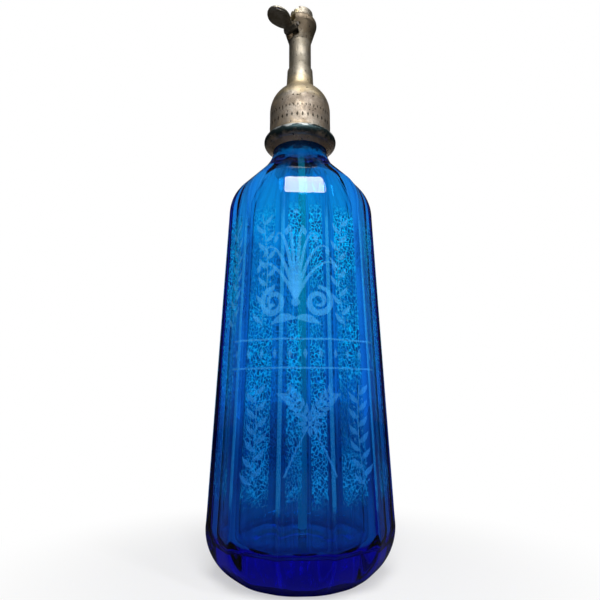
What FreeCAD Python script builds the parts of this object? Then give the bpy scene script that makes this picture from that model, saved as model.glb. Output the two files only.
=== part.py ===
import FreeCAD, Part

import math
import os
from types import SimpleNamespace

import Sketcher

# Antique soda siphon: a twelve-sided glass bottle with a pewter lever valve on its neck.
# Origin at the centre of the foot, +Z up. Lengths in millimetres, turns in degrees.

SIZES = {
    # glass bottle
    "foot_radius": 34.0,
    "foot_inner_radius": 25.0,
    "foot_recess": 2.5,
    "heel_height": 26.0,
    "body_radius": 50.2,
    "shoulder_height": 193.0,
    "shoulder_radius": 42.6,
    "shoulder_round": 28.0,
    "neck_round": 22.5,
    "neck_radius": 16.0,
    "wall": 5.6,
    "floor_height": 14.0,
    "inner_heel_round": 22.0,
    "neck_bore": 9.5,
    "panel_depth": 1.35,
    "panel_turn": 3.4,
    "groove_rise": 1.2,
    "groove_radius": 13.5,
    "groove_height": 15.4,
    "lip_radius": 15.8,
    "lip_height": 8.0,
    # neck gasket and split collar
    "gasket_thickness": 2.0,
    "collar_radius": 22.0,
    "collar_drop": 9.5,
    "collar_neck_gap": 0.55,
    "collar_rim_width": 2.4,
    "collar_rim_rise": 2.3,
    "collar_widest_rise": 6.1,
    "collar_split": 0.4,
    # bell-shaped cap
    "bell_radius": 18.7,
    "bell_wall": 1.5,
    "bell_depth": 19.8,
    "bell_skirt": 16.8,
    "sleeve_root_radius": 8.5,
    "sleeve_top_radius": 8.0,
    "sleeve_top_rise": 29.5,
    "sleeve_fillet": 4.5,
    # valve column and slotted barrel
    "shank_radius": 5.4,
    "column_radius": 7.0,
    "column_length": 17.1,
    "barrel_start_rise": 3.0,
    "funnel_radius": 10.2,
    "funnel_rise": 13.4,
    "barrel_radius": 10.75,
    "barrel_widest_rise": 15.8,
    "barrel_top_rise": 19.4,
    "barrel_step": 0.9,
    "cap_radius": 8.3,
    "cap_rise": 24.8,
    "cap_round": 0.8,
    "liquid_bore": 2.6,
    "seat_drop": 4.3,
    "guide_bore": 4.6,
    "slot_width": 10.5,
    "slot_root": 2.6,
    "slot_root_rise": 7.6,
    "slot_mouth_rise": 1.3,
    "lever_turn": 225.0,
    # lever and its pin
    "hinge_reach": 7.6,
    "hinge_rise": 10.8,
    "pin_radius": 1.1,
    "pin_length": 12.0,
    "hub_radius": 2.4,
    "nose_tip": 0.6,
    "nose_height": 2.4,
    "nose_width": 4.0,
    "arm_width": 6.2,
    "arm_end": 10.6,
    "paddle_centre": 18.6,
    "paddle_width": 12.4,
    "lever_reach": 25.4,
    "lever_bend": 19.0,
    "lever_climb": 0.7,
    "lever_upturn": 1.5,
    "lever_thickness": 1.9,
    # piston, washer, seal, spring and plug
    "washer_radius": 3.9,
    "washer_thickness": 2.0,
    "screw_head_radius": 1.7,
    "screw_head_height": 1.1,
    "screw_radius": 0.9,
    "screw_length": 5.0,
    "seal_rise": 3.0,
    "seal_height": 1.3,
    "seal_depth": 1.2,
    "mortise_below": 1.7,
    "mortise_above": 0.8,
    "mortise_roof": 1.0,
    "spring_bore": 3.3,
    "spring_radius": 2.35,
    "spring_wire": 0.35,
    "spring_turns": 4.0,
    "lift_room": 2.2,
    "plug_radius": 6.2,
    "plug_thickness": 3.2,
    "plug_recess": 1.6,
    "plug_notch_width": 1.4,
    "plug_notch_depth": 0.9,
    # spout
    "spout_turn": 90.0,
    "spout_level": 0.5,
    "boss_radius": 5.2,
    "boss_reach": 10.2,
    "spout_washer_thickness": 0.8,
    "tenon_radius": 3.2,
    "tenon_start": 5.2,
    "spout_bore": 2.2,
    "spout_radius": 4.3,
    "spout_reach": 36.0,
    "spout_bend": 15.0,
    "spout_drop": 13.0,
    "outlet_radius": 5.1,
    "outlet_height": 3.0,
    # dip tube and its fixing
    "tube_radius": 3.7,
    "tube_bore": 2.3,
    "tube_floor_gap": 5.0,
    "nut_room": 5.0,
    "nut_radius": 8.4,
    "nut_length": 18.0,
    "nut_lip": 2.4,
    "ring_height": 5.6,
    # clearances
    "fit_clearance": 0.05,
    "seat_clearance": 0.15,
    "loose_clearance": 0.4,
}

PANEL_COUNT = 12
SLANT = math.sqrt(0.5)
TURN_OFF = 1 - SLANT


class Dim:
    """A size that carries its spreadsheet formula and its present value."""

    def __init__(self, text, value):
        self.text = text
        self.value = value

    def join(self, sign, other, value):
        return Dim(f"({self.text} {sign} {other.text})", value)

    def __add__(self, other):
        other = dim(other)
        return self.join("+", other, self.value + other.value)

    def __sub__(self, other):
        other = dim(other)
        return self.join("-", other, self.value - other.value)

    def __mul__(self, other):
        other = dim(other)
        return self.join("*", other, self.value * other.value)

    def __truediv__(self, other):
        other = dim(other)
        return self.join("/", other, self.value / other.value)

    def __radd__(self, other):
        return dim(other) + self

    def __rsub__(self, other):
        return dim(other) - self

    def __rmul__(self, other):
        return dim(other) * self

    def __neg__(self):
        return dim(0) - self


def dim(number):
    """Turn a plain number into a Dim, and leave a Dim alone."""
    return number if isinstance(number, Dim) else Dim(f"{number:.9g}", float(number))


def root(size):
    """The square root of a size."""
    return Dim(f"sqrt({size.text})", math.sqrt(size.value))


def round_over(run, rise):
    """Radius of the arc that covers run and rise and leaves along the rise."""
    return (run * run + rise * rise) / (2 * run)


doc = FreeCAD.newDocument("SodaSiphon")
sheet = doc.addObject("Spreadsheet::Sheet", "Sizes")
for row, (alias, number) in enumerate(SIZES.items(), start=1):
    sheet.set(f"A{row}", alias)
    sheet.set(f"B{row}", str(number))
    sheet.setAlias(f"B{row}", alias)
doc.recompute()
d = SimpleNamespace(**{alias: Dim(f"Sizes.{alias}", number) for alias, number in SIZES.items()})


# Heights that several pieces share, worked up from the foot.

shoulder_end_radius = d.shoulder_radius - d.shoulder_round * TURN_OFF
shoulder_end = d.shoulder_height + d.shoulder_round * SLANT
neck_flare_radius = d.neck_radius + d.neck_round * TURN_OFF
neck_flare = shoulder_end + shoulder_end_radius - neck_flare_radius
neck_start = neck_flare + d.neck_round * SLANT
groove_low = neck_start + d.groove_rise
groove_high = groove_low + d.groove_height
lip_top = groove_high + d.lip_height
gasket_top = lip_top + d.gasket_thickness
bell_low = gasket_top - d.bell_depth
bell_inner = d.bell_radius - d.bell_wall
dome_centre = bell_low + d.bell_skirt
sleeve_top = dome_centre + d.sleeve_top_rise
column_top = sleeve_top + d.column_length
cap_top = column_top + d.cap_rise
hinge_height = column_top + d.hinge_rise
seat_height = column_top - d.seat_drop
washer_low = seat_height + d.seat_clearance
piston_low = washer_low + d.washer_thickness
piston_radius = d.guide_bore - d.fit_clearance
seal_low = column_top + d.seal_rise
mortise_low = hinge_height - d.nose_height / 2 - d.mortise_below
mortise_high = hinge_height + d.nose_height / 2 + d.mortise_above
spring_low = mortise_high + d.mortise_roof
plug_low = cap_top - d.plug_thickness
spring_high = plug_low + d.plug_recess
piston_top = plug_low - d.lift_room
spout_height = column_top - d.spout_level
spout_start = d.boss_reach + d.spout_washer_thickness
outlet_height = spout_height - d.spout_bend - d.spout_drop
nut_roof = gasket_top + d.nut_room
nut_low = nut_roof - d.nut_length
ring_low = nut_low + d.nut_lip
ring_top = ring_low + d.ring_height
shank_low = ring_top + d.seat_clearance


# Sketches and features

def origin_plane(body, role):
    """The body's own origin plane of that role, such as XZ_Plane."""
    return next(plane for plane in body.Origin.OriginFeatures if plane.Role == role)


def attach(item, body, role):
    """Lay a sketch or a solid of the body on one of the body's planes."""
    item.AttachmentSupport = [(origin_plane(body, role), "")]
    item.MapMode = "FlatFace"
    return item


def sketch_on(body, name, role):
    return attach(body.newObject("Sketcher::SketchObject", name), body, role)


def bind(sketch, constraint, size):
    """Add a sized constraint and tie it to the spreadsheet."""
    index = sketch.addConstraint(constraint)
    sketch.setExpression(f"Constraints[{index}]", size.text)


def hold(sketch, edge, end, across, up):
    """Hold one point of an edge at its place, measured from the sketch's origin."""
    for kind, axis, place in (("DistanceX", -2, across), ("DistanceY", -1, up)):
        if place.value == 0:
            sketch.addConstraint(Sketcher.Constraint("PointOnObject", edge, end, axis))
        else:
            bind(sketch, Sketcher.Constraint(kind, -1, 1, edge, end, place.value), place)


def arc_between(start, end, radius):
    """The short arc from start to end: to the left of the way with a radius above zero."""
    left = FreeCAD.Vector(start.y - end.y, end.x - start.x, 0).normalize()
    half = (end - start).Length / 2
    sag = math.sqrt(max(radius * radius - half * half, 0))
    centre = (start + end) / 2 + left * math.copysign(sag, radius)
    first, last = (start, end) if radius > 0 else (end, start)
    angles = [math.atan2(point.y - centre.y, point.x - centre.x) for point in (first, last)]
    circle = Part.Circle(centre, FreeCAD.Vector(0, 0, 1), abs(radius))
    return Part.ArcOfCircle(circle, *angles)


def draw(sketch, corners, closed=True):
    """Draw lines and arcs through corners: (across, up) or (across, up, radius to the next)."""
    places = [(dim(corner[0]), dim(corner[1])) for corner in corners]
    points = [FreeCAD.Vector(across.value, up.value, 0) for across, up in places]
    ends = []
    count = len(corners) if closed else len(corners) - 1
    for index in range(count):
        start, end = points[index], points[(index + 1) % len(points)]
        if len(corners[index]) == 2:
            edge = sketch.addGeometry(Part.LineSegment(start, end))
            ends.append((edge, 1, 2))
        else:
            radius = corners[index][2]
            edge = sketch.addGeometry(arc_between(start, end, radius.value))
            ends.append((edge, 1, 2) if radius.value > 0 else (edge, 2, 1))
            size = radius if radius.value > 0 else -radius
            bind(sketch, Sketcher.Constraint("Radius", edge, size.value), size)
    for index, (edge, start, end) in enumerate(ends):
        hold(sketch, edge, start, *places[index])
        if closed or index + 1 < count:
            following, first, _ = ends[(index + 1) % count]
            sketch.addConstraint(Sketcher.Constraint("Coincident", edge, end, following, first))
        else:
            hold(sketch, edge, end, *places[index + 1])


def circle(sketch, across, up, radius):
    """Draw a circle of that radius about a place in the sketch."""
    centre = FreeCAD.Vector(across.value, up.value, 0)
    edge = sketch.addGeometry(Part.Circle(centre, FreeCAD.Vector(0, 0, 1), radius.value))
    bind(sketch, Sketcher.Constraint("Radius", edge, radius.value), radius)
    hold(sketch, edge, 3, across, up)


def profile(body, name, role, corners):
    sketch = sketch_on(body, name, role)
    draw(sketch, corners)
    return sketch


def new_body(label, turn=None):
    """A body whose Label names its piece, turned about the bottle's axis."""
    body = doc.addObject("PartDesign::Body", "Body_" + label)
    body.Label = label
    if turn is not None:
        body.Placement = FreeCAD.Placement(FreeCAD.Vector(), FreeCAD.Rotation(turn.value, 0, 0))
        body.setExpression("Placement.Rotation.Angle", turn.text)
    return body


def revolve(body, name, corners, kind="PartDesign::Revolution", angle=dim(360)):
    """Turn an outline in the XZ plane about the bottle's axis."""
    feature = body.newObject(kind, name)
    feature.Profile = profile(body, name + "Outline", "XZ_Plane", corners)
    feature.ReferenceAxis = (feature.Profile[0], ["V_Axis"])
    feature.setExpression("Angle", angle.text)
    doc.recompute()
    return feature


def extrude(body, name, sketch, length, kind="PartDesign::Pad"):
    """Draw a sketch out by the same length on both sides of its plane."""
    feature = body.newObject(kind, name)
    feature.Profile = sketch
    feature.SideType = "Symmetric"
    feature.setExpression("Length", length.text)
    doc.recompute()
    return feature


def bar(body, name, kind, role, base, radius, length, turn=None):
    """A round bar that starts on one of the body's planes, base being a place on it."""
    feature = attach(body.newObject(kind, name), body, role)
    feature.setExpression("Radius", radius.text)
    feature.setExpression("Height", length.text)
    rotation = FreeCAD.Rotation(FreeCAD.Vector(0, 1, 0), turn.value if turn else 0)
    place = FreeCAD.Vector(*(dim(side).value for side in base))
    feature.AttachmentOffset = FreeCAD.Placement(place, rotation)
    for axis, side in zip("xyz", base):
        feature.setExpression(f"AttachmentOffset.Base.{axis}", dim(side).text)
    if turn:
        feature.setExpression("AttachmentOffset.Rotation.Angle", turn.text)
    doc.recompute()
    return feature


def pipe(body, name, kind, start, radius, path):
    """Sweep a circle, which stands across the X axis at start, along a path in the XZ plane."""
    spine = sketch_on(body, name + "Path", "XZ_Plane")
    draw(spine, path, closed=False)
    section = sketch_on(body, name + "Section", "YZ_Plane")
    section.setExpression("AttachmentOffset.Base.z", start.text)
    circle(section, dim(0), path[0][1], radius)
    doc.recompute()
    feature = body.newObject(kind, name)
    feature.Profile = section
    feature.Spine = (spine, [f"Edge{index + 1}" for index in range(len(path) - 1)])
    doc.recompute()
    return feature


def ring(label, inner, outer, low, high, turn=None):
    """A plain ring or sleeve about the bottle's axis."""
    body = new_body(label, turn)
    revolve(body, "Ring", [(inner, low), (outer, low), (outer, high), (inner, high)])
    return body


# Glass

def glass_bottle():
    """Thick bottle: round heel, twelve ground panels, sloping shoulder, grooved neck and lip."""
    body = new_body("glass_bottle", d.panel_turn)
    inner_round = d.shoulder_round - d.wall
    inner_neck_round = d.neck_round + d.wall
    inner_shoulder = d.shoulder_height - d.wall / 2
    inner_end_radius = d.shoulder_radius - d.wall - inner_round * TURN_OFF
    inner_end = inner_shoulder + inner_round * SLANT
    inner_flare_radius = d.neck_bore + inner_neck_round * TURN_OFF
    inner_flare = inner_end + inner_end_radius - inner_flare_radius
    heel_round = round_over(d.body_radius - d.foot_radius, d.heel_height)
    dish_round = round_over(d.foot_recess, d.foot_inner_radius)
    revolve(body, "Wall", [
        (0, d.foot_recess, -dish_round),
        (d.foot_inner_radius, 0),
        (d.foot_radius, 0, heel_round),
        (d.body_radius, d.heel_height),
        (d.shoulder_radius, d.shoulder_height, d.shoulder_round),
        (shoulder_end_radius, shoulder_end),
        (neck_flare_radius, neck_flare, -d.neck_round),
        (d.neck_radius, neck_start),
        (d.neck_radius, groove_low),
        (d.groove_radius, groove_low),
        (d.groove_radius, groove_high),
        (d.lip_radius, groove_high),
        (d.lip_radius, lip_top),
        (d.neck_bore, lip_top),
        (d.neck_bore, inner_flare + inner_neck_round * SLANT, inner_neck_round),
        (inner_flare_radius, inner_flare),
        (inner_end_radius, inner_end, -inner_round),
        (d.shoulder_radius - d.wall, inner_shoulder),
        (d.body_radius - d.wall, d.floor_height + d.inner_heel_round, -d.inner_heel_round),
        (d.body_radius - d.wall - d.inner_heel_round, d.floor_height),
        (0, d.floor_height),
    ])
    taper = (d.body_radius - d.shoulder_radius) / (d.shoulder_height - d.heel_height)
    foot_line = d.body_radius - d.panel_depth + taper * d.heel_height
    outside = 2 * d.body_radius
    flat = profile(body, "PanelLine", "XZ_Plane", [
        (foot_line, 0),
        (outside, 0),
        (outside, neck_start),
        (foot_line - taper * neck_start, neck_start),
    ])
    panel = extrude(body, "Panel", flat, outside, "PartDesign::Pocket")
    panels = body.newObject("PartDesign::PolarPattern", "Panels")
    panels.Originals = [panel]
    panels.Axis = (flat, ["V_Axis"])
    panels.Angle = 360
    panels.Occurrences = PANEL_COUNT
    body.Tip = panels
    doc.recompute()
    return body


def dip_tube():
    """Glass tube from just above the floor of the bottle up to the valve."""
    low = d.floor_height + d.tube_floor_gap
    return ring("dip_tube", d.tube_bore, d.tube_radius, low, ring_top)


# Head

def neck_gasket():
    """Flat rubber washer between the glass lip and the bell."""
    return ring("neck_gasket", d.neck_bore + d.seat_clearance, bell_inner - d.loose_clearance, lip_top, gasket_top)


def collar_half(label, turn):
    """Half of the split collar: a swollen ring with a tongue that fills the groove of the neck."""
    body = new_body(label, turn)
    body_gap = d.neck_radius + d.collar_neck_gap
    low = bell_low - d.seat_clearance - d.collar_drop
    rim = body_gap + d.collar_rim_width
    rim_height = low + d.collar_rim_rise
    widest = low + d.collar_widest_rise
    top = bell_low - d.seat_clearance
    thread = bell_inner - d.seat_clearance
    tongue = d.groove_radius + d.seat_clearance
    tongue_low = groove_low + d.loose_clearance
    tongue_top = groove_high - d.seat_clearance
    half = revolve(body, "Half", [
        (body_gap, low),
        (rim, rim_height, round_over(d.collar_radius - rim, widest - rim_height)),
        (d.collar_radius, widest, round_over(d.collar_radius - d.bell_radius, top - widest)),
        (d.bell_radius, top),
        (thread, top),
        (thread, tongue_top),
        (tongue, tongue_top),
        (tongue, tongue_low),
        (body_gap, tongue_low),
    ], angle=180 - d.collar_split / d.collar_radius * (180 / math.pi))
    half.Midplane = True
    doc.recompute()
    return body


def bell():
    """Domed cap that screws down over the collar, with a sleeve that carries the valve column."""
    body = new_body("bell")
    reach = d.bell_radius + d.sleeve_fillet
    fillet_centre = d.sleeve_root_radius + d.sleeve_fillet
    fillet_rise = root(reach * reach - fillet_centre * fillet_centre)
    share = d.bell_radius / reach
    shank_hole = d.shank_radius + d.fit_clearance
    nut_hole = d.nut_radius + d.loose_clearance
    revolve(body, "Shell", [
        (bell_inner, bell_low),
        (d.bell_radius, bell_low),
        (d.bell_radius, dome_centre, d.bell_radius),
        (fillet_centre * share, dome_centre + fillet_rise * share, -d.sleeve_fillet),
        (d.sleeve_root_radius, dome_centre + fillet_rise),
        (d.sleeve_top_radius, sleeve_top),
        (shank_hole, sleeve_top),
        (shank_hole, nut_roof),
        (nut_hole, nut_roof),
        (nut_hole, gasket_top),
        (bell_inner, gasket_top),
    ])
    return body


def valve_body():
    """Column and slotted barrel: bored for the piston, with a boss that takes the spout."""
    body = new_body("valve_body", d.lever_turn)
    barrel_low = column_top + d.barrel_start_rise
    funnel_top = column_top + d.funnel_rise
    widest = column_top + d.barrel_widest_rise
    barrel_top = column_top + d.barrel_top_rise
    step_radius = d.cap_radius + d.barrel_step
    revolve(body, "Column", [
        (0, shank_low),
        (d.shank_radius, shank_low),
        (d.shank_radius, sleeve_top),
        (d.column_radius, sleeve_top),
        (d.column_radius, barrel_low),
        (d.funnel_radius, funnel_top, round_over(d.barrel_radius - d.funnel_radius, widest - funnel_top)),
        (d.barrel_radius, widest, round_over(d.barrel_radius - step_radius, barrel_top - widest)),
        (step_radius, barrel_top),
        (d.cap_radius, barrel_top),
        (d.cap_radius, cap_top - d.cap_round, d.cap_round),
        (d.cap_radius - d.cap_round, cap_top),
        (0, cap_top),
    ])
    aside = d.spout_turn - d.lever_turn
    level = (0, spout_height, 0)
    bar(body, "Boss", "PartDesign::AdditiveCylinder", "YZ_Plane", level, d.boss_radius, d.boss_reach, aside)
    revolve(body, "Bore", [
        (0, shank_low),
        (d.liquid_bore, shank_low),
        (d.liquid_bore, seat_height),
        (d.guide_bore, seat_height),
        (d.guide_bore, plug_low),
        (d.plug_radius, plug_low),
        (d.plug_radius, cap_top),
        (0, cap_top),
    ], "PartDesign::Groove")
    tenon_hole = d.tenon_radius + d.fit_clearance
    port_length = 2 * d.boss_reach
    bar(body, "Port", "PartDesign::SubtractiveCylinder", "YZ_Plane", level, tenon_hole, port_length, aside)
    mouth = 2 * d.barrel_radius
    slot = profile(body, "SlotLine", "XZ_Plane", [
        (d.slot_root, column_top + d.slot_root_rise),
        (d.barrel_radius, column_top + d.slot_mouth_rise),
        (mouth, column_top + d.slot_mouth_rise),
        (mouth, cap_top),
        (d.slot_root, cap_top),
    ])
    extrude(body, "Slot", slot, d.slot_width, "PartDesign::Pocket")
    holes = sketch_on(body, "PinHoles", "XZ_Plane")
    circle(holes, d.hinge_reach, hinge_height, d.pin_radius + d.fit_clearance)
    extrude(body, "PinHole", holes, mouth, "PartDesign::Pocket")
    return body


def spout():
    """Bent spout with a tenon in the valve body and a bead round its outlet."""
    body = new_body("spout", d.spout_turn)
    bend_end = spout_height - d.spout_bend
    turn_in = d.spout_reach - d.spout_bend
    course = [(turn_in, spout_height, -d.spout_bend), (d.spout_reach, bend_end), (d.spout_reach, outlet_height)]
    wall_course = [(spout_start, spout_height)] + course
    bore_course = [(d.tenon_start, spout_height)] + course
    pipe(body, "Neck", "PartDesign::AdditivePipe", spout_start, d.spout_radius, wall_course)
    tenon = (0, spout_height, d.tenon_start)
    tenon_length = spout_start - d.tenon_start + d.spout_radius
    bar(body, "Tenon", "PartDesign::AdditiveCylinder", "YZ_Plane", tenon, d.tenon_radius, tenon_length)
    bead = (d.spout_reach, 0, outlet_height)
    bar(body, "Bead", "PartDesign::AdditiveCylinder", "XY_Plane", bead, d.outlet_radius, d.outlet_height)
    pipe(body, "Bore", "PartDesign::SubtractivePipe", d.tenon_start, d.spout_bore, bore_course)
    return body


def spout_washer():
    """Fibre washer between the boss and the spout."""
    body = new_body("spout_washer", d.spout_turn)
    seat = sketch_on(body, "Seat", "YZ_Plane")
    circle(seat, dim(0), spout_height, d.spout_radius)
    circle(seat, dim(0), spout_height, d.tenon_radius + d.fit_clearance)
    seat.setExpression("AttachmentOffset.Base.z", (d.boss_reach + d.spout_washer_thickness / 2).text)
    doc.recompute()
    extrude(body, "Washer", seat, d.spout_washer_thickness)
    return body


def top_plug():
    """Brass plug in the top of the barrel, notched for a screwdriver, over the spring."""
    body = new_body("top_plug", d.lever_turn)
    radius = d.plug_radius - d.fit_clearance
    revolve(body, "Plug", [
        (d.spring_bore, plug_low),
        (radius, plug_low),
        (radius, cap_top),
        (0, cap_top),
        (0, spring_high),
        (d.spring_bore, spring_high),
    ])
    notch = profile(body, "NotchLine", "XZ_Plane", [
        (-d.plug_radius, cap_top - d.plug_notch_depth),
        (d.plug_radius, cap_top - d.plug_notch_depth),
        (d.plug_radius, cap_top),
        (-d.plug_radius, cap_top),
    ])
    extrude(body, "Notch", notch, d.plug_notch_width, "PartDesign::Pocket")
    return body


# Lever

def lever():
    """Thumb lever: egg-shaped paddle, cross hub for the pin, and a nose inside the piston."""
    body = new_body("lever", d.lever_turn)
    half_nose = d.nose_height / 2
    bend = hinge_height + d.lever_climb
    tip = bend + d.lever_upturn
    curl = round_over(d.lever_upturn, d.lever_reach - d.lever_bend)
    side = profile(body, "SideLine", "XZ_Plane", [
        (d.nose_tip, hinge_height - half_nose),
        (d.hinge_reach, hinge_height - half_nose),
        (d.lever_bend, bend, curl),
        (d.lever_reach, tip),
        (d.lever_reach, tip + d.lever_thickness, -curl),
        (d.lever_bend, bend + d.lever_thickness),
        (d.hinge_reach, hinge_height + half_nose),
        (d.nose_tip, hinge_height + half_nose),
    ])
    extrude(body, "Blank", side, d.paddle_width)
    hub_width = d.slot_width - 2 * d.loose_clearance
    end_circle = sketch_on(body, "HubEnd", "XZ_Plane")
    circle(end_circle, d.hinge_reach, hinge_height, d.hub_radius)
    extrude(body, "Hub", end_circle, hub_width)
    half_paddle = d.paddle_width / 2
    half_arm = d.arm_width / 2
    swell = round_over(half_paddle - half_arm, d.paddle_centre - d.arm_end)
    tip_round = round_over(half_paddle, d.lever_reach - d.paddle_centre)
    hub_in = d.hinge_reach - d.hub_radius
    hub_out = d.hinge_reach + d.hub_radius
    outline = sketch_on(body, "TopLine", "XY_Plane")
    draw(outline, [
        (d.nose_tip, -d.nose_width / 2),
        (hub_in, -d.nose_width / 2),
        (hub_in, -hub_width / 2),
        (hub_out, -hub_width / 2),
        (hub_out, -half_arm),
        (d.arm_end, -half_arm, swell),
        (d.paddle_centre, -half_paddle, tip_round),
        (d.lever_reach, 0, tip_round),
        (d.paddle_centre, half_paddle, swell),
        (d.arm_end, half_arm),
        (hub_out, half_arm),
        (hub_out, hub_width / 2),
        (hub_in, hub_width / 2),
        (hub_in, d.nose_width / 2),
        (d.nose_tip, d.nose_width / 2),
    ])
    margin = d.lever_reach + d.paddle_width
    draw(outline, [(-margin, -margin), (margin, -margin), (margin, margin), (-margin, margin)])
    extrude(body, "Trim", outline, 4 * cap_top, "PartDesign::Pocket")
    eye = sketch_on(body, "EyeLine", "XZ_Plane")
    circle(eye, d.hinge_reach, hinge_height, d.pin_radius + d.fit_clearance)
    extrude(body, "Eye", eye, d.paddle_width, "PartDesign::Pocket")
    return body


def lever_pin():
    """Steel pin through both cheeks of the barrel and the hub of the lever."""
    body = new_body("lever_pin", d.lever_turn)
    end_circle = sketch_on(body, "PinEnd", "XZ_Plane")
    circle(end_circle, d.hinge_reach, hinge_height, d.pin_radius)
    extrude(body, "Pin", end_circle, d.pin_length)
    return body


# Piston

def valve_piston():
    """Brass piston: washer at the foot, seal groove, mortise for the lever's nose, spring pocket."""
    body = new_body("valve_piston", d.lever_turn)
    screw_hole = d.screw_radius + d.fit_clearance
    screw_top = washer_low + d.screw_length + d.seat_clearance
    groove = piston_radius - d.seal_depth
    revolve(body, "Stem", [
        (screw_hole, piston_low),
        (d.washer_radius, piston_low),
        (d.washer_radius, seal_low - d.seal_depth),
        (piston_radius, seal_low - d.seal_depth),
        (piston_radius, seal_low),
        (groove, seal_low),
        (groove, seal_low + d.seal_height),
        (piston_radius, seal_low + d.seal_height),
        (piston_radius, piston_top),
        (d.spring_bore, piston_top),
        (d.spring_bore, spring_low),
        (0, spring_low),
        (0, screw_top),
        (screw_hole, screw_top),
    ])
    mortise_root = d.nose_tip - d.loose_clearance
    mortise = profile(body, "MortiseLine", "XZ_Plane", [
        (mortise_root, mortise_low),
        (d.hinge_reach, mortise_low),
        (d.hinge_reach, mortise_high),
        (mortise_root, mortise_high),
    ])
    extrude(body, "Mortise", mortise, d.nose_width + 2 * d.loose_clearance, "PartDesign::Pocket")
    return body


def valve_washer():
    """Rubber washer that shuts the seat."""
    return ring("valve_washer", d.screw_radius + d.fit_clearance, d.washer_radius, washer_low, piston_low)


def washer_screw():
    """Screw that holds the washer on the piston."""
    body = new_body("washer_screw")
    head_low = washer_low - d.screw_head_height
    revolve(body, "Screw", [
        (0, head_low),
        (d.screw_head_radius, head_low),
        (d.screw_head_radius, washer_low),
        (d.screw_radius, washer_low),
        (d.screw_radius, washer_low + d.screw_length),
        (0, washer_low + d.screw_length),
    ])
    return body


def piston_seal():
    """Leather ring in the groove of the piston."""
    inner = piston_radius - d.seal_depth + d.fit_clearance
    high = seal_low + d.seal_height - d.fit_clearance
    return ring("piston_seal", inner, piston_radius, seal_low + d.fit_clearance, high)


def helix_point(turn, low, high, turns):
    """A point of the spring's centre line after that many turns."""
    angle = 2 * math.pi * turn
    rise = low + (high - low) * turn / turns
    return FreeCAD.Vector(d.spring_radius.value * math.cos(angle), d.spring_radius.value * math.sin(angle), rise)


def valve_spring():
    """Return spring: one wire wound round in quarter turns, between the piston and the plug."""
    turns = round(d.spring_turns.value)
    wire = d.spring_wire.value
    low = spring_low.value + wire + d.fit_clearance.value
    high = spring_high.value - wire - d.fit_clearance.value
    steps = 4 * turns
    edges = []
    for step in range(steps):
        places = [helix_point((step + part) / 4, low, high, turns) for part in (0, 0.5, 1)]
        edges.append(Part.Arc(*places).toShape())
    spine = Part.Wire(edges)
    start = helix_point(0, low, high, turns)
    heading = helix_point(0.01, low, high, turns) - start
    section = Part.Wire([Part.makeCircle(wire, start, heading)])
    feature = doc.addObject("Part::Feature", "Coil")
    feature.Label = "valve_spring"
    feature.Shape = spine.makePipeShell([section], True, False)
    feature.Placement = FreeCAD.Placement()
    samples = [helix_point(index / 40, low, high, turns) for index in range(40 * turns + 1)]
    apart = min((first - second).Length for index, first in enumerate(samples) for second in samples[index + 20:])
    print(f"valve_spring: least gap to itself {apart - 2 * wire:.2f} mm")
    return feature


# Dip tube fixing

def tube_nut():
    """Cup nut under the bell: draws the valve column down and squeezes the tube ring."""
    body = new_body("tube_nut")
    thread = d.shank_radius + d.seat_clearance
    lip = d.tube_radius + d.seat_clearance
    revolve(body, "Nut", [
        (lip, nut_low),
        (d.nut_radius, nut_low),
        (d.nut_radius, nut_roof),
        (thread, nut_roof),
        (thread, ring_low),
        (lip, ring_low),
    ])
    return body


def tube_ring():
    """Rubber ring that grips the dip tube inside the nut."""
    return ring("tube_ring", d.tube_radius + d.fit_clearance, d.shank_radius, ring_low, ring_top)


pieces = [
    glass_bottle(),
    neck_gasket(),
    collar_half("collar_half_front", dim(270)),
    collar_half("collar_half_back", dim(90)),
    bell(),
    valve_body(),
    spout(),
    spout_washer(),
    lever(),
    lever_pin(),
    valve_piston(),
    valve_washer(),
    washer_screw(),
    piston_seal(),
    valve_spring(),
    top_plug(),
    dip_tube(),
    tube_nut(),
    tube_ring(),
]
doc.recompute()

for item in doc.Objects:
    if "Invalid" in item.State or "Error" in item.State:
        raise RuntimeError(f"{item.Label} failed: {item.State}")
for piece in pieces:
    if piece.Shape.isNull() or not piece.Shape.isValid() or len(piece.Shape.Solids) != 1:
        raise RuntimeError(f"{piece.Label} is not one sound solid")

os.makedirs("parts", exist_ok=True)
for piece in pieces:
    piece.Shape.exportStep(f"parts/{piece.Label}.step")
    print(f"{piece.Label}: {piece.Shape.Volume:.1f} cubic mm")
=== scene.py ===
"""Looks of an antique soda siphon: panelled blue glass, etched ornament and a tarnished pewter head."""
import logging
import math
from dataclasses import dataclass, field
from enum import Enum
from typing import Callable, Iterable, Optional, Sequence, Union

import bmesh
import bpy
import numpy as np
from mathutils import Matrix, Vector


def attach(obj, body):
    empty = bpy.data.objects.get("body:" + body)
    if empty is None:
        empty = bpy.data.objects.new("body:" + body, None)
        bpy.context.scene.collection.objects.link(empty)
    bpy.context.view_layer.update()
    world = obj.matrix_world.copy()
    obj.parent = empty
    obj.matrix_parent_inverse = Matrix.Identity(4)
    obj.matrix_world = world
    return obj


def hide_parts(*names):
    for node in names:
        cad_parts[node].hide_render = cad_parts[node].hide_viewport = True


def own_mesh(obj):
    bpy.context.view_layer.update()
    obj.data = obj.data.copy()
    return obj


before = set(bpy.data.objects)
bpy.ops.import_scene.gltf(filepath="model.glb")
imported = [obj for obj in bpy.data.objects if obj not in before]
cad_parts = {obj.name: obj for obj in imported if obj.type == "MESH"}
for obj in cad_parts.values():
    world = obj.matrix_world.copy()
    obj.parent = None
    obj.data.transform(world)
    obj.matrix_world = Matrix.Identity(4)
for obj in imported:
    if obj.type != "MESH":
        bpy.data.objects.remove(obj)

LOG = logging.getLogger("siphon")
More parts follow.
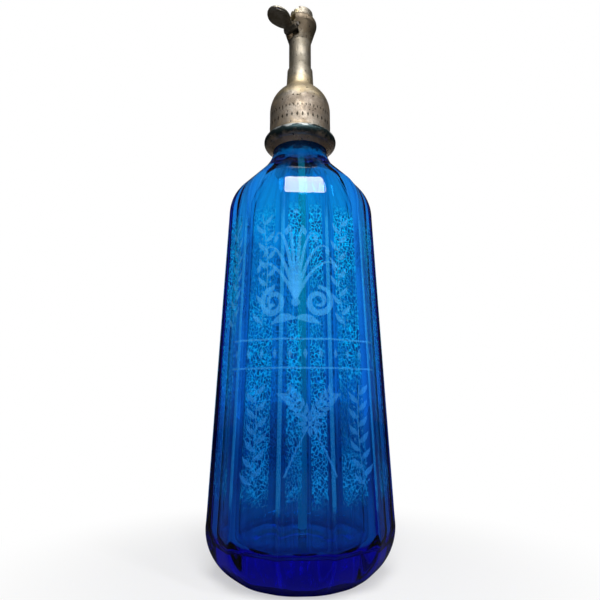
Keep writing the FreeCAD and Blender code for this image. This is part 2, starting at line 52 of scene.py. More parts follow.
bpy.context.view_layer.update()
MM = 0.001
MERGE_DISTANCE = 1e-7
SMOOTH_ANGLE = 35.0
TINY = 1e-6
PANELS = 12
PANEL_TURN = 3.4

Colour = tuple[float, float, float]
Point = tuple[float, float]


class Body(Enum):
    """The rigid bodies that carry finished pieces."""

    FIXED = "root"
    LEVER = "lever"


class Slot(Enum):
    """The material slots of the record, named with each finished piece."""

    BLUE_GLASS = "blue_glass"
    PALE_GLASS = "pale_glass"
    PEWTER = "pewter"
    STEEL = "steel"


# Node trees

def arithmetic(operation: str, swapped: bool = False) -> Callable[["Signal", "Value"], "Signal"]:
    """Make an operator on signals that adds a Math node.

    Args:
        operation: What the node works out.
        swapped: Whether the signal is the second of the two values.

    Returns:
        The method of the operator.
    """
    def method(signal: "Signal", other: "Value") -> "Signal":
        """Work out the operation on a signal and another value."""
        return signal.nodes.math(operation, *((other, signal) if swapped else (signal, other)))

    return method


class Signal:
    """A value socket that takes part in Python sums."""

    def __init__(self, nodes: "NodeTree", socket: bpy.types.NodeSocket) -> None:
        """Keep the socket and the tree that holds it."""
        self.nodes = nodes
        self.socket = socket

    __add__ = __radd__ = arithmetic("ADD")
    __mul__ = __rmul__ = arithmetic("MULTIPLY")
    __sub__ = arithmetic("SUBTRACT")
    __rsub__ = arithmetic("SUBTRACT", swapped=True)
    __truediv__ = arithmetic("DIVIDE")
    __rtruediv__ = arithmetic("DIVIDE", swapped=True)
    most = arithmetic("MAXIMUM")

    def ease(self, low: "Value", high: "Value", start: float = 0.0, end: float = 1.0) -> "Signal":
        """Move smoothly from start to end while the value goes from low to high.

        Args:
            low: Value at which the result is start.
            high: Value at which the result is end.
            start: Result at and below low.
            end: Result at and above high.

        Returns:
            The eased value.
        """
        inputs = {"Value": self, "From Min": low, "From Max": high, "To Min": start, "To Max": end}
        return self.nodes.value("ShaderNodeMapRange", {"interpolation_type": "SMOOTHSTEP"}, inputs, "Result")


Value = Union[Signal, float]
Input = Union[Signal, float, Sequence[float], bpy.types.NodeSocket]


class NodeTree:
    """Adds nodes to a shader tree or a geometry tree."""

    def __init__(self, tree: bpy.types.NodeTree) -> None:
        """Keep the tree."""
        self.tree = tree

    def node(self, kind: str, settings: Optional[dict] = None,
             inputs: Optional[dict] = None) -> bpy.types.Node:
        """Add a node, set it up, and feed its sockets.

        Args:
            kind: Blender's name of the node type.
            settings: Properties to set first.
            inputs: Values or links of its sockets, by name or number.

        Returns:
            The new node.
        """
        node = self.tree.nodes.new(kind)
        for key, value in (settings or {}).items():
            setattr(node, key, value)
        for key, value in (inputs or {}).items():
            self.feed(node.inputs[key], value)
        return node

    def feed(self, socket: bpy.types.NodeSocket, value: Input) -> None:
        """Link a signal or a socket to a socket, or set a constant on it.

        Args:
            socket: The input socket.
            value: What goes in. A colour may leave out its alpha.
        """
        if isinstance(value, Signal):
            value = value.socket
        if isinstance(value, bpy.types.NodeSocket):
            self.tree.links.new(value, socket)
        elif socket.type == "RGBA" and len(value) == 3:
            socket.default_value = (*value, 1.0)
        else:
            socket.default_value = value

    def socket(self, kind: str, settings: Optional[dict] = None, inputs: Optional[dict] = None,
               output: Union[str, int] = 0) -> bpy.types.NodeSocket:
        """Add a node and return one of its outputs."""
        return self.node(kind, settings, inputs).outputs[output]

    def value(self, kind: str, settings: Optional[dict] = None, inputs: Optional[dict] = None,
              output: Union[str, int] = 0) -> Signal:
        """Add a node and return one of its outputs as a value."""
        return Signal(self, self.socket(kind, settings, inputs, output))

    def math(self, operation: str, *values: Value) -> Signal:
        """Add a Math node."""
        return self.value("ShaderNodeMath", {"operation": operation}, dict(enumerate(values)))

    def vector(self, *parts: Value) -> bpy.types.NodeSocket:
        """Join values into a vector, with zeros for the parts that are left out."""
        return self.socket("ShaderNodeCombineXYZ", {}, dict(enumerate(parts)))

    def parts(self, vector: bpy.types.NodeSocket) -> tuple[Signal, ...]:
        """The three values of a vector."""
        split = self.node("ShaderNodeSeparateXYZ", {}, {0: vector})
        return tuple(Signal(self, part) for part in split.outputs)

    def length(self, vector: bpy.types.NodeSocket) -> Signal:
        """The length of a vector."""
        return self.value("ShaderNodeVectorMath", {"operation": "LENGTH"}, {0: vector}, "Value")


class Painter(NodeTree):
    """Builds the node tree of a material or of the world."""

    def __init__(self, owner: Union[bpy.types.Material, bpy.types.World], output: str = "Material") -> None:
        """Start an empty tree.

        Args:
            owner: What the tree belongs to.
            output: The kind of its output node.
        """
        owner.use_nodes = True
        super().__init__(owner.node_tree)
        self.tree.nodes.clear()
        self.output = self.node(f"ShaderNodeOutput{output}")

    def place(self, scale: Sequence[float] = (1, 1, 1)) -> bpy.types.NodeSocket:
        """The piece's own coordinates, in metres, stretched."""
        coords = self.socket("ShaderNodeTexCoord", output="Object")
        return self.socket("ShaderNodeMapping", {}, {"Vector": coords, "Scale": scale})

    def height(self) -> Signal:
        """Height above the foot, in millimetres."""
        return self.parts(self.place())[2] / MM

    def noise(self, scale: float, detail: float = 4.0, rough: float = 0.55,
              stretch: Sequence[float] = (1, 1, 1)) -> Signal:
        """Cloudy noise.

        Args:
            scale: Waves in a metre.
            detail: Octaves.
            rough: Weight of the fine octaves.
            stretch: Scale of each axis.

        Returns:
            A value around one half.
        """
        inputs = {"Vector": self.place(stretch), "Scale": scale, "Detail": detail, "Roughness": rough}
        return self.value("ShaderNodeTexNoise", {}, inputs, "Fac")

    def cells(self, scale: float, feature: str = "F1",
              vector: Optional[bpy.types.NodeSocket] = None) -> Signal:
        """Distance in a field of Voronoi cells, with scale cells in a metre."""
        inputs = {"Vector": vector or self.place(), "Scale": scale}
        return self.value("ShaderNodeTexVoronoi", {"feature": feature}, inputs, "Distance")

    def mix(self, amount: Value, first: Input, second: Input) -> bpy.types.NodeSocket:
        """Blend two colours."""
        inputs = {"Factor": amount, 6: first, 7: second}
        return self.socket("ShaderNodeMix", {"data_type": "RGBA"}, inputs, 2)

    def bump(self, height: Signal, strength: float, distance: float) -> bpy.types.NodeSocket:
        """Turn a height, in units of a distance in metres, into a normal."""
        inputs = {"Height": height, "Strength": strength, "Distance": distance}
        return self.socket("ShaderNodeBump", {}, inputs)

    def send(self, node: bpy.types.Node, socket: str = "Surface") -> None:
        """Link a shader to the output."""
        self.tree.links.new(node.outputs[0], self.output.inputs[socket])

    def surface(self, inputs: dict) -> None:
        """Add the Principled shader and send it to the output."""
        self.send(self.node("ShaderNodeBsdfPrincipled", {}, inputs))

    def rays(self) -> dict[str, Signal]:
        """One for the rays of each kind, zero for the rest.

        Returns:
            The values, by the name of the kind.
        """
        path = self.node("ShaderNodeLightPath")
        return {name: Signal(self, path.outputs[f"Is {name} Ray"])
                for name in ("Camera", "Diffuse", "Transmission", "Reflection")}


class Weaver(NodeTree):
    """Builds one geometry node tree with named inputs."""

    def __init__(self, name: str) -> None:
        """Start a tree from a mesh to a mesh.

        Args:
            name: Name of the tree.
        """
        super().__init__(bpy.data.node_groups.new(name, "GeometryNodeTree"))
        for way in ("INPUT", "OUTPUT"):
            self.tree.interface.new_socket("Geometry", in_out=way, socket_type="NodeSocketGeometry")
        self.source = self.node("NodeGroupInput")
        self.sink = self.node("NodeGroupOutput")
        self.keys: dict[str, str] = {}

    def entry(self, name: str, kind: str = "NodeSocketFloat") -> Signal:
        """Add a named input and return it as a source.

        Args:
            name: Name of the input.
            kind: Blender's name of its socket type.

        Returns:
            The source.
        """
        socket = self.tree.interface.new_socket(name, in_out="INPUT", socket_type=kind)
        self.keys[name] = socket.identifier
        return Signal(self, self.source.outputs[name])

    def entries(self, *names: str) -> list[Signal]:
        """Add several named numbers and return them as sources."""
        return [self.entry(name) for name in names]

    def stamp(self, points: bpy.types.NodeSocket, mark: dict, stretch: Sequence[float],
              turn: Sequence[float] = (0.0, 0.0, 0.0), facing: Input = (0.0, 0.0, 0.0)) -> None:
        """End the tree with a flat mark on every point.

        Args:
            points: Where the marks go.
            mark: Vertices and radius of the polygon that a mark starts from.
            stretch: Scale of each axis of the polygon.
            turn: How the polygon is turned, in radians.
            facing: How each mark is turned on its point, in radians.
        """
        flat = self.socket("GeometryNodeMeshCircle", {"fill_type": "NGON"}, mark)
        tall = self.socket("GeometryNodeTransform", {}, {
            "Geometry": flat, "Scale": stretch, "Rotation": turn})
        self.close(self.socket("GeometryNodeInstanceOnPoints", {}, {
            "Points": points, "Instance": tall, "Rotation": facing}))

    def close(self, geometry: bpy.types.NodeSocket) -> None:
        """End the tree: real faces, in the material that comes in as its last input.

        Args:
            geometry: What the tree has made.
        """
        material = self.entry("Material", "NodeSocketMaterial")
        real = self.socket("GeometryNodeRealizeInstances", {}, {0: geometry})
        dressed = self.socket("GeometryNodeSetMaterial", {}, {"Geometry": real, "Material": material})
        self.feed(self.sink.inputs[0], dressed)

    def bake(self, piece: bpy.types.Object, values: dict) -> None:
        """Run the tree on a piece and keep the result as its plain mesh.

        Args:
            piece: The object whose mesh goes in.
            values: Values of the named inputs.
        """
        modifier = piece.modifiers.new(self.tree.name, "NODES")
        modifier.node_group = self.tree
        for name, value in values.items():
            modifier[self.keys[name]] = value
        graph = bpy.context.evaluated_depsgraph_get()
        mesh = bpy.data.meshes.new_from_object(piece.evaluated_get(graph))
        piece.modifiers.remove(modifier)
        old, piece.data = piece.data, mesh
        bpy.data.meshes.remove(old)
        mesh.name = piece.name

    def grow(self, name: str, values: dict) -> bpy.types.Object:
        """Run a tree that needs no mesh to start from.

        Args:
            name: Name of the piece.
            values: Values of the named inputs.

        Returns:
            The linked object.
        """
        piece = mesh_object(name, np.eye(3) * MM, [(0, 1, 2)])
        self.bake(piece, values)
        return piece


# Kinds of finish

def scaled(colour: Colour, *shares: float) -> Colour:
    """Multiply a colour, by one share for all its parts or by one share each."""
    return tuple(part * share for part, share in zip(colour, shares if len(shares) == 3 else shares * 3))


@dataclass(frozen=True)
class TintedGlass:
    """Polished glass that takes its colour from its depth and its skin. Heights in millimetres.

    Its skin is darkened by the share foot down the body, and again in the heel, as painted shade. Where it
    has panels, their arrises are worn a little matt and carry a pale painted highlight, between bands of
    painted shade.
    """

    name: str
    tint: Colour
    density: float
    skin: Colour
    haze: float
    foot: float = 1.0
    panels: int = 0
    turn: float = 0.0
    index: float = 1.52
    ripple: float = 0.08 * MM
    body: Point = (30.0, 160.0)
    heel: Point = (6.0, 24.0)
    heel_shade_share: float = 0.3
    arris_shade_share: float = 0.45
    pale_arris_highlight: Colour = (0.5, 0.85, 0.95)
    worn_matt: float = 0.14

    def paint(self) -> bpy.types.Material:
        """Make the material.

        Returns:
            The material.
        """
        material = bpy.data.materials.new(self.name)
        painter = Painter(material)
        waves = painter.noise(38, detail=2.0, rough=0.4, stretch=(1, 1, 0.35))
        smear = painter.noise(95, detail=5.0, rough=0.65).ease(0.5, 0.8)
        # Painted shade: the skin is darkened by the share foot down the body, and again in the heel.
        deep = scaled(self.skin, self.foot, self.foot, (1 + self.foot) / 2)
        height = painter.height()
        skin = painter.mix(height.ease(*self.body), deep, self.skin)
        if self.foot < 1.0:
            skin = painter.mix(height.ease(*self.heel), scaled(deep, self.heel_shade_share), skin)
        rough = smear * self.haze
        if self.panels:
            aside = self.aside(painter)
            patchy = painter.noise(60, detail=3.0, rough=0.6, stretch=(1, 1, 0.3)).ease(0.3, 0.6, 0.5, 1.0)
            # Along each arris: wear that leaves the glass a little matt, and a paler colour that is a
            # painted highlight. The bands beside each arris are darkened, as painted shade.
            worn = aside.ease(0.9, 0.97) * patchy
            shade_beside_arris = aside.ease(0.72, 0.88) * aside.ease(0.88, 0.93, 1.0, 0.0)
            shaded = painter.mix(shade_beside_arris * 0.55, skin, scaled(self.skin, self.arris_shade_share))
            skin = painter.mix(worn * 0.6, shaded, self.pale_arris_highlight)
            rough = rough + worn * self.worn_matt
        painter.surface({
            "Base Color": skin,
            "Roughness": rough,
            "IOR": self.index,
            "Transmission Weight": 1.0,
            "Normal": painter.bump(waves, 1.0, self.ripple),
        })
        depth = painter.node("ShaderNodeVolumeAbsorption", {}, {"Color": self.tint, "Density": self.density})
        painter.send(depth, "Volume")
        return material

    def aside(self, painter: Painter) -> Signal:
        """Zero along the middle of a panel and one along its arrises.

        Args:
            painter: Builder of the material's tree.

        Returns:
            The value.
        """
        across, deep, _ = painter.parts(painter.place())
        half = math.pi / self.panels
        angle = painter.math("ARCTAN2", deep, across) - math.radians(self.turn)
        return painter.math("ABSOLUTE", painter.math("WRAP", angle, half, -half)) / half


@dataclass(frozen=True)
class Band:
    """A stretch of height in millimetres, with a tone, the share of it, and the roughness that it adds."""

    low: float
    high: float
    tone: Colour
    share: float
    matt: float = 0.0


@dataclass(frozen=True)
class AgedMetal:
    """Cast metal with stains, worn bright patches, scratches and pits, and bands of another tone; some bands
    are painted highlight and some painted shade.
    """

    name: str
    bright: Colour
    dull: Colour
    stain: Colour
    polish: float = 0.32
    matt: float = 0.55
    tarnish: float = 0.04
    gilt: Optional[Colour] = None
    bands: tuple[Band, ...] = ()
    pits: float = 0.28 * MM
    grain: float = 210.0
    hole_share: float = 0.35
    ragged: float = 3.0
    softest: float = 2.5

    def paint(self) -> bpy.types.Material:
        """Make the material.

        Returns:
            The material.
        """
        material = bpy.data.materials.new(self.name)
        painter = Painter(material)
        cloud = painter.noise(self.grain * 0.6, detail=6.0, rough=0.62).ease(0.36, 0.66)
        blotch = painter.noise(self.grain * 0.22, detail=4.0, rough=0.6).ease(0.48, 0.7)
        speck = painter.noise(self.grain * 5, detail=3.0, rough=0.7)
        pit = painter.cells(self.grain * 3.4).ease(0.0, 0.24)
        scratch = painter.noise(self.grain * 4, detail=2.0, rough=0.5, stretch=(1, 1, 0.06)).ease(0.55, 0.72)
        hole = painter.noise(self.grain * 3, detail=1.0, rough=0.4).ease(0.69, 0.74)
        rust = painter.noise(self.grain * 11, detail=3.0, rough=0.7)
        colour = painter.mix(cloud, self.bright, self.dull)
        colour = painter.mix(speck.ease(0.5, 0.75) * 0.45, colour, self.stain)
        colour = painter.mix(blotch * 0.8, colour, self.stain)
        if self.gilt:
            shine = painter.noise(self.grain * 0.37, detail=4.0, rough=0.6).ease(0.52, 0.66)
            colour = painter.mix(shine * 0.55, colour, self.gilt)
        rough = cloud * (self.matt - self.polish) + self.polish
        rough = rough + blotch * 0.1 + speck * 0.08 - scratch * 0.06
        for band in self.bands:
            inside = self.inside(painter, cloud, band)
            colour = painter.mix(inside * band.share, colour, band.tone)
            rough = rough + inside * band.matt
        dark = ((1 - pit) * 0.6).most(hole * 0.9)
        relief = rust * 0.9 + speck * 0.6 + pit * 0.8 + cloud * 0.5 - scratch * 0.2 - hole * 1.2
        painter.surface({
            "Base Color": painter.mix(dark, colour, scaled(self.stain, self.hole_share)),
            "Metallic": (1.0 - self.tarnish) - blotch * 0.2,
            "Roughness": rough,
            "Normal": painter.bump(relief, 0.6, self.pits),
        })
        return material

    def inside(self, painter: Painter, cloud: Signal, band: Band) -> Signal:
        """One inside a band, with ragged edges.

        Args:
            painter: Builder of the material's tree.
            cloud: Noise that makes the edges wander.
            band: The band.

        Returns:
            The value.
        """
        wander = painter.height() + cloud * self.ragged - self.ragged / 2
        soft = min(0.2 * (band.high - band.low), self.softest)
        above = wander.ease(band.low - soft, band.low + soft)
        return above * wander.ease(band.high - soft, band.high + soft, 1.0, 0.0)


@dataclass(frozen=True)
class PlainMatter:
    """Rubber or leather: matt, a little uneven."""

    name: str
    base: Colour
    worn: Colour
    matt: float = 0.75
    uneven: float = 0.15
    grain: float = 900.0
    relief: float = 0.05 * MM

    def paint(self) -> bpy.types.Material:
        """Make the material.

        Returns:
            The material.
        """
        material = bpy.data.materials.new(self.name)
        painter = Painter(material)
        cloud = painter.noise(self.grain, detail=5.0, rough=0.6).ease(0.35, 0.7)
        painter.surface({
            "Base Color": painter.mix(cloud, self.base, self.worn),
            "Roughness": cloud * self.uneven + self.matt,
            "Normal": painter.bump(cloud, 0.4, self.relief),
        })
        return material


@dataclass(frozen=True)
class AcidEtching:
    """Frosted skin on the glass: a plain frost, or pale wandering lines on a darker ground.

    The frost lies between two ragged heights, in millimetres. It glows, as painted light, and its darker
    ground is painted shade. It dims down the bottle, and may be darkened at the top as painted shade.
    """

    name: str
    frost: Colour
    glow: float
    cover: float
    ground: Optional[Colour] = None
    ground_cover: float = 0.5
    patches: float = 0.0
    cells: float = 260.0
    low: float = 0.0
    high: float = 400.0
    painted_shade_from: float = 500.0
    dark: Colour = (0.0, 0.02, 0.05)
    painted_shade_cover: float = 0.3
    dim: Colour = (0.3, 0.5, 0.75)
    dim_heights: Point = (60.0, 150.0)
    ragged: float = 16.0
    low_soft: float = 5.0
    high_soft: Point = (8.0, 2.0)
    painted_shade_soft: float = 2.0
    relief: float = 0.04 * MM
    wander: float = 5 * MM

    def paint(self) -> bpy.types.Material:
        """Make the material.

        Returns:
            The material.
        """
        material = bpy.data.materials.new(self.name)
        painter = Painter(material)
        cloud = painter.noise(420, detail=4.0, rough=0.7)
        height = painter.height()
        colour = painter.mix(height.ease(*self.dim_heights), scaled(self.frost, *self.dim), self.frost)
        alpha = cloud.ease(0.2, 0.8, 0.7, 1.0) * self.cover
        # The darker ground between the lines is a dark sheet on the glass: painted shade.
        if self.ground is not None:
            line = self.lines(painter)
            colour = painter.mix(line, self.ground, colour)
            alpha = line * alpha + (1 - line) * cloud.ease(0.25, 0.6) * self.ground_cover
            patch = painter.noise(32, detail=2.0, rough=0.5, stretch=(1, 1, 0.6))
            alpha = alpha * patch.ease(0.42, 0.58, 1.0 - self.patches, 1.0)
        edge = height + cloud * self.ragged - self.ragged / 2
        alpha = alpha * edge.ease(self.low - self.low_soft, self.low + self.low_soft)
        below, above = self.high_soft
        alpha = alpha * edge.ease(self.high - below, self.high + above, 1.0, 0.0)
        # Painted shade: above a ragged height the frost turns dark.
        dark = edge.ease(self.painted_shade_from - self.painted_shade_soft, self.painted_shade_from + self.painted_shade_soft)
        colour = painter.mix(dark, colour, self.dark)
        painter.surface({
            "Base Color": colour,
            "Roughness": cloud * 0.2 + 0.5,
            "Specular IOR Level": 0.05,
            # The frost glows: painted light for the light that it scatters.
            "Emission Color": colour,
            "Emission Strength": self.glow,
            "Alpha": alpha + dark * self.painted_shade_cover,
            "Normal": painter.bump(painter.noise(2600, detail=2.0), 0.3, self.relief),
        })
        return material

    def lines(self, painter: Painter) -> Signal:
        """One along wandering lines between cells, zero inside the cells.

        Args:
            painter: Builder of the material's tree.

        Returns:
            The value.
        """
        drift = {"Vector": painter.place(), "Scale": 160.0, "Detail": 2.0}
        cloud = painter.socket("ShaderNodeTexNoise", {}, drift, "Color")
        offset = painter.socket("ShaderNodeVectorMath", {"operation": "SCALE"}, {
            0: cloud, "Scale": self.wander})
        tall = painter.place((1, 1, 0.7))
        moved = painter.socket("ShaderNodeVectorMath", {"operation": "ADD"}, {0: tall, 1: offset})
        return painter.cells(self.cells, "DISTANCE_TO_EDGE", moved).ease(0.03, 0.12, 1.0, 0.0)


# Finishes of the siphon

# The share foot darkens the skin towards the foot, as painted shade.
BLUE_GLASS = TintedGlass("blue_glass", (0.1, 0.6, 0.955), 250.0, (0.1, 0.76, 0.9), haze=0.004, foot=0.8,
                         panels=PANELS, turn=PANEL_TURN)
PALE_GLASS = TintedGlass("pale_glass", (0.25, 0.85, 0.8), 380.0, (0.66, 1.0, 0.95), haze=0.1)

PEWTER = AgedMetal(
    "pewter", (0.44, 0.405, 0.345), (0.27, 0.23, 0.17), (0.13, 0.1, 0.07), gilt=(0.6, 0.46, 0.28), bands=(
        Band(316.0, 330.0, (0.16, 0.125, 0.085), 0.85, 0.05),
        Band(287.0, 316.0, (0.25, 0.225, 0.18), 0.75, 0.1),
        # Golden band: partly the metal's tone and partly a painted highlight on the dome.
        Band(269.0, 287.0, (0.7, 0.56, 0.33), 0.45, -0.05),
        Band(247.0, 267.0, (0.42, 0.34, 0.27), 0.45, 0.1)))
DARK_PEWTER = AgedMetal("dark_pewter", (0.36, 0.33, 0.27), (0.2, 0.17, 0.125), (0.09, 0.07, 0.045))
COLLAR_METAL = AgedMetal(
    "collar_metal", (0.2, 0.23, 0.23), (0.08, 0.1, 0.105), (0.07, 0.065, 0.06),
    polish=0.22, matt=0.45, tarnish=0.12, bands=(
        # Painted highlight along the top of the rim.
        Band(245.8, 249.0, (0.6, 0.64, 0.63), 0.8),
        # Painted shade in the cove under the rim.
        Band(241.6, 245.4, (0.012, 0.035, 0.04), 0.85),
        # Warm brown underside: partly the metal's tone and partly painted light.
        Band(230.0, 241.0, (0.5, 0.35, 0.22), 0.85)))
MARK_SHADOW = AgedMetal("mark_shadow", (0.1, 0.085, 0.065), (0.06, 0.05, 0.038), (0.03, 0.025, 0.02))
OLD_BRASS = AgedMetal("old_brass", (0.85, 0.74, 0.5), (0.66, 0.56, 0.36), (0.35, 0.28, 0.16))
PIN_STEEL = AgedMetal("pin_steel", (0.5, 0.48, 0.45), (0.3, 0.28, 0.25), (0.16, 0.12, 0.09))
AGED_RUBBER = PlainMatter("aged_rubber", (0.03, 0.03, 0.03), (0.08, 0.075, 0.07))
GREASED_LEATHER = PlainMatter("greased_leather", (0.16, 0.1, 0.06), (0.26, 0.17, 0.1))

# All the frosts below glow, as painted light; the darker grounds of the etched lines and lace are painted
# shade.
ETCHED_LINES = AcidEtching(
    "etched_lines", (0.02, 0.62, 1.0), glow=0.7, cover=0.35, ground=(0.0, 0.02, 0.08), ground_cover=0.85,
    patches=0.35, cells=420.0, low=44.0, high=190.0)
ETCHED_LACE = AcidEtching(
    "etched_lace", (0.0, 0.55, 1.0), glow=0.4, cover=0.5, ground=(0.0, 0.015, 0.1), ground_cover=0.72,
    patches=0.75, cells=700.0, low=44.0, high=190.0)
# Painted highlights along the arrises: pale strips that glow.
ARRIS_HIGHLIGHT = AcidEtching("pale_arris_highlight", (0.04, 0.6, 1.0), glow=0.45, cover=0.18, low=40.0, high=186.0)
LIME_BLOOM = AcidEtching("lime_bloom", (0.0, 0.6, 0.58), glow=0.42, cover=0.5)
ETCHED_FILL = AcidEtching("etched_fill", (0.06, 0.42, 0.86), glow=0.13, cover=0.42)


# Meshes

class Outline:
    """A half section in millimetres: points of radius and height, with arcs sampled finely."""

    def __init__(self, radius: float, height: float) -> None:
        """Start at a point."""
        self.points: list[Point] = [(radius, height)]

    def line(self, radius: float, height: float, steps: int = 1) -> "Outline":
        """Go straight to a point.

        Args:
            radius: Radius of the end point.
            height: Height of the end point.
            steps: Number of equal steps.

        Returns:
            The outline.
        """
        here = self.points[-1]
        for step in range(1, steps + 1):
            share = step / steps
            self.points.append((here[0] + (radius - here[0]) * share, here[1] + (height - here[1]) * share))
        return self

    def arc(self, radius: float, height: float, round_: float, steps: int) -> "Outline":
        """Go to a point along the short arc of a circle.

        Args:
            radius: Radius of the end point.
            height: Height of the end point.
            round_: Radius of the arc, above zero to turn left on the way.
            steps: Number of chords.

        Returns:
            The outline.
        """
        start, end = np.array(self.points[-1]), np.array((radius, height))
        way = end - start
        left = np.array((-way[1], way[0])) / np.linalg.norm(way)
        sag = math.sqrt(max(round_ ** 2 - (way @ way) / 4, 0.0))
        centre = (start + end) / 2 + left * math.copysign(sag, round_)
        first = math.atan2(*(start - centre)[::-1])
        sweep = math.remainder(math.atan2(*(end - centre)[::-1]) - first, 2 * math.pi)
        for angle in first + sweep * np.arange(1, steps + 1) / steps:
            self.points.append(tuple(centre + abs(round_) * np.array((math.cos(angle), math.sin(angle)))))
        return self


def tangent_round(run: float, rise: float) -> float:
    """Radius of the arc that covers run and rise and leaves along the rise."""
    return (run * run + rise * rise) / (2 * run)


def grid_faces(rows: int, columns: int, base: int = 0) -> list[tuple[int, ...]]:
    """Number the corners of a grid of faces, whose points run row by row.

    Args:
        rows: Faces along a column.
        columns: Faces along a row.
        base: Number of the first point.

    Returns:
        The four corners of each face.
    """
    step = columns + 1
    corners = [base + row * step + column for row in range(rows) for column in range(columns)]
    return [(corner, corner + 1, corner + step + 1, corner + step) for corner in corners]


def mesh_object(name: str, vertices: np.ndarray, faces: Iterable[Sequence[int]],
                smooth: float = SMOOTH_ANGLE) -> bpy.types.Object:
    """Make an object from points in metres and faces.

    Args:
        name: Name of the piece.
        vertices: Points, one row each.
        faces: Corner numbers of each face.
        smooth: Angle in degrees below which edges are shaded smooth.

    Returns:
        The linked object.
    """
    mesh = bpy.data.meshes.new(name)
    mesh.from_pydata([tuple(row) for row in vertices], [], [tuple(face) for face in faces])
    return link_mesh(name, mesh, smooth)


def link_mesh(name: str, mesh: bpy.types.Mesh, smooth: float = SMOOTH_ANGLE) -> bpy.types.Object:
    """Merge a mesh's doubled points, point its faces outwards, and put it in the scene as a piece.

    Args:
        name: Name of the piece.
        mesh: The mesh.
        smooth: Angle in degrees below which edges are shaded smooth.

    Returns:
        The linked object.
    """
    bm = bmesh.new()
    bm.from_mesh(mesh)
    bmesh.ops.remove_doubles(bm, verts=bm.verts, dist=MERGE_DISTANCE)
    bmesh.ops.recalc_face_normals(bm, faces=bm.faces)
    bm.to_mesh(mesh)
    bm.free()
    piece = bpy.data.objects.new(name, mesh)
    bpy.context.scene.collection.objects.link(piece)
    shade(piece, smooth)
    return piece


def shade(piece: bpy.types.Object, smooth: float) -> None:
    """Shade a piece smooth, with sharp edges where faces meet at more than an angle in degrees."""
    piece.data.shade_smooth()
    piece.data.set_sharp_from_angle(angle=math.radians(smooth))


def lathe(name: str, outline: Outline, segments: int, smooth: float = SMOOTH_ANGLE) -> bpy.types.Object:
    """Turn a closed half section about the bottle's axis.

    Args:
        name: Name of the piece.
        outline: Half section; its last point joins its first.
        segments: Steps round the axis.
        smooth: Angle in degrees below which edges are shaded smooth.

    Returns:
        The linked object.
    """
    radius, height = np.array(outline.points).T * MM
    angles = np.radians(360.0 * np.arange(segments) / segments)
    count = len(radius)
    grid = np.stack([np.outer(np.cos(angles), radius), np.outer(np.sin(angles), radius),
                     np.broadcast_to(height, (segments, count))], axis=-1)
    pairs = [(row, (row + 1) % count) for row in range(count)]
    off_axis = [(row, after) for row, after in pairs if max(radius[row], radius[after]) > 0]
    faces = []
    for column in range(segments):
        here, there = column * count, (column + 1) % segments * count
        faces += [(here + row, there + row, there + after, here + after) for row, after in off_axis]
    return mesh_object(name, grid.reshape(-1, 3), faces, smooth)


def finish_piece(piece: bpy.types.Object, material: bpy.types.Material, body: Body, slot: Slot,
                 *nodes: str) -> None:
    """Dress a piece and tell the frame what it is.

    Args:
        piece: The piece, in its place.
        material: Its finish.
        body: The body that it moves with.
        slot: The material slot of the record; not used.
        *nodes: The CAD nodes that it stands for.
    """
    piece.data.materials.clear()
    piece.data.materials.append(material)
    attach(piece, body.value)
    if nodes:
        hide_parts(*nodes)
    LOG.info("%s rides on %s with %d faces", piece.name, body.value, len(piece.data.polygons))


# Glass

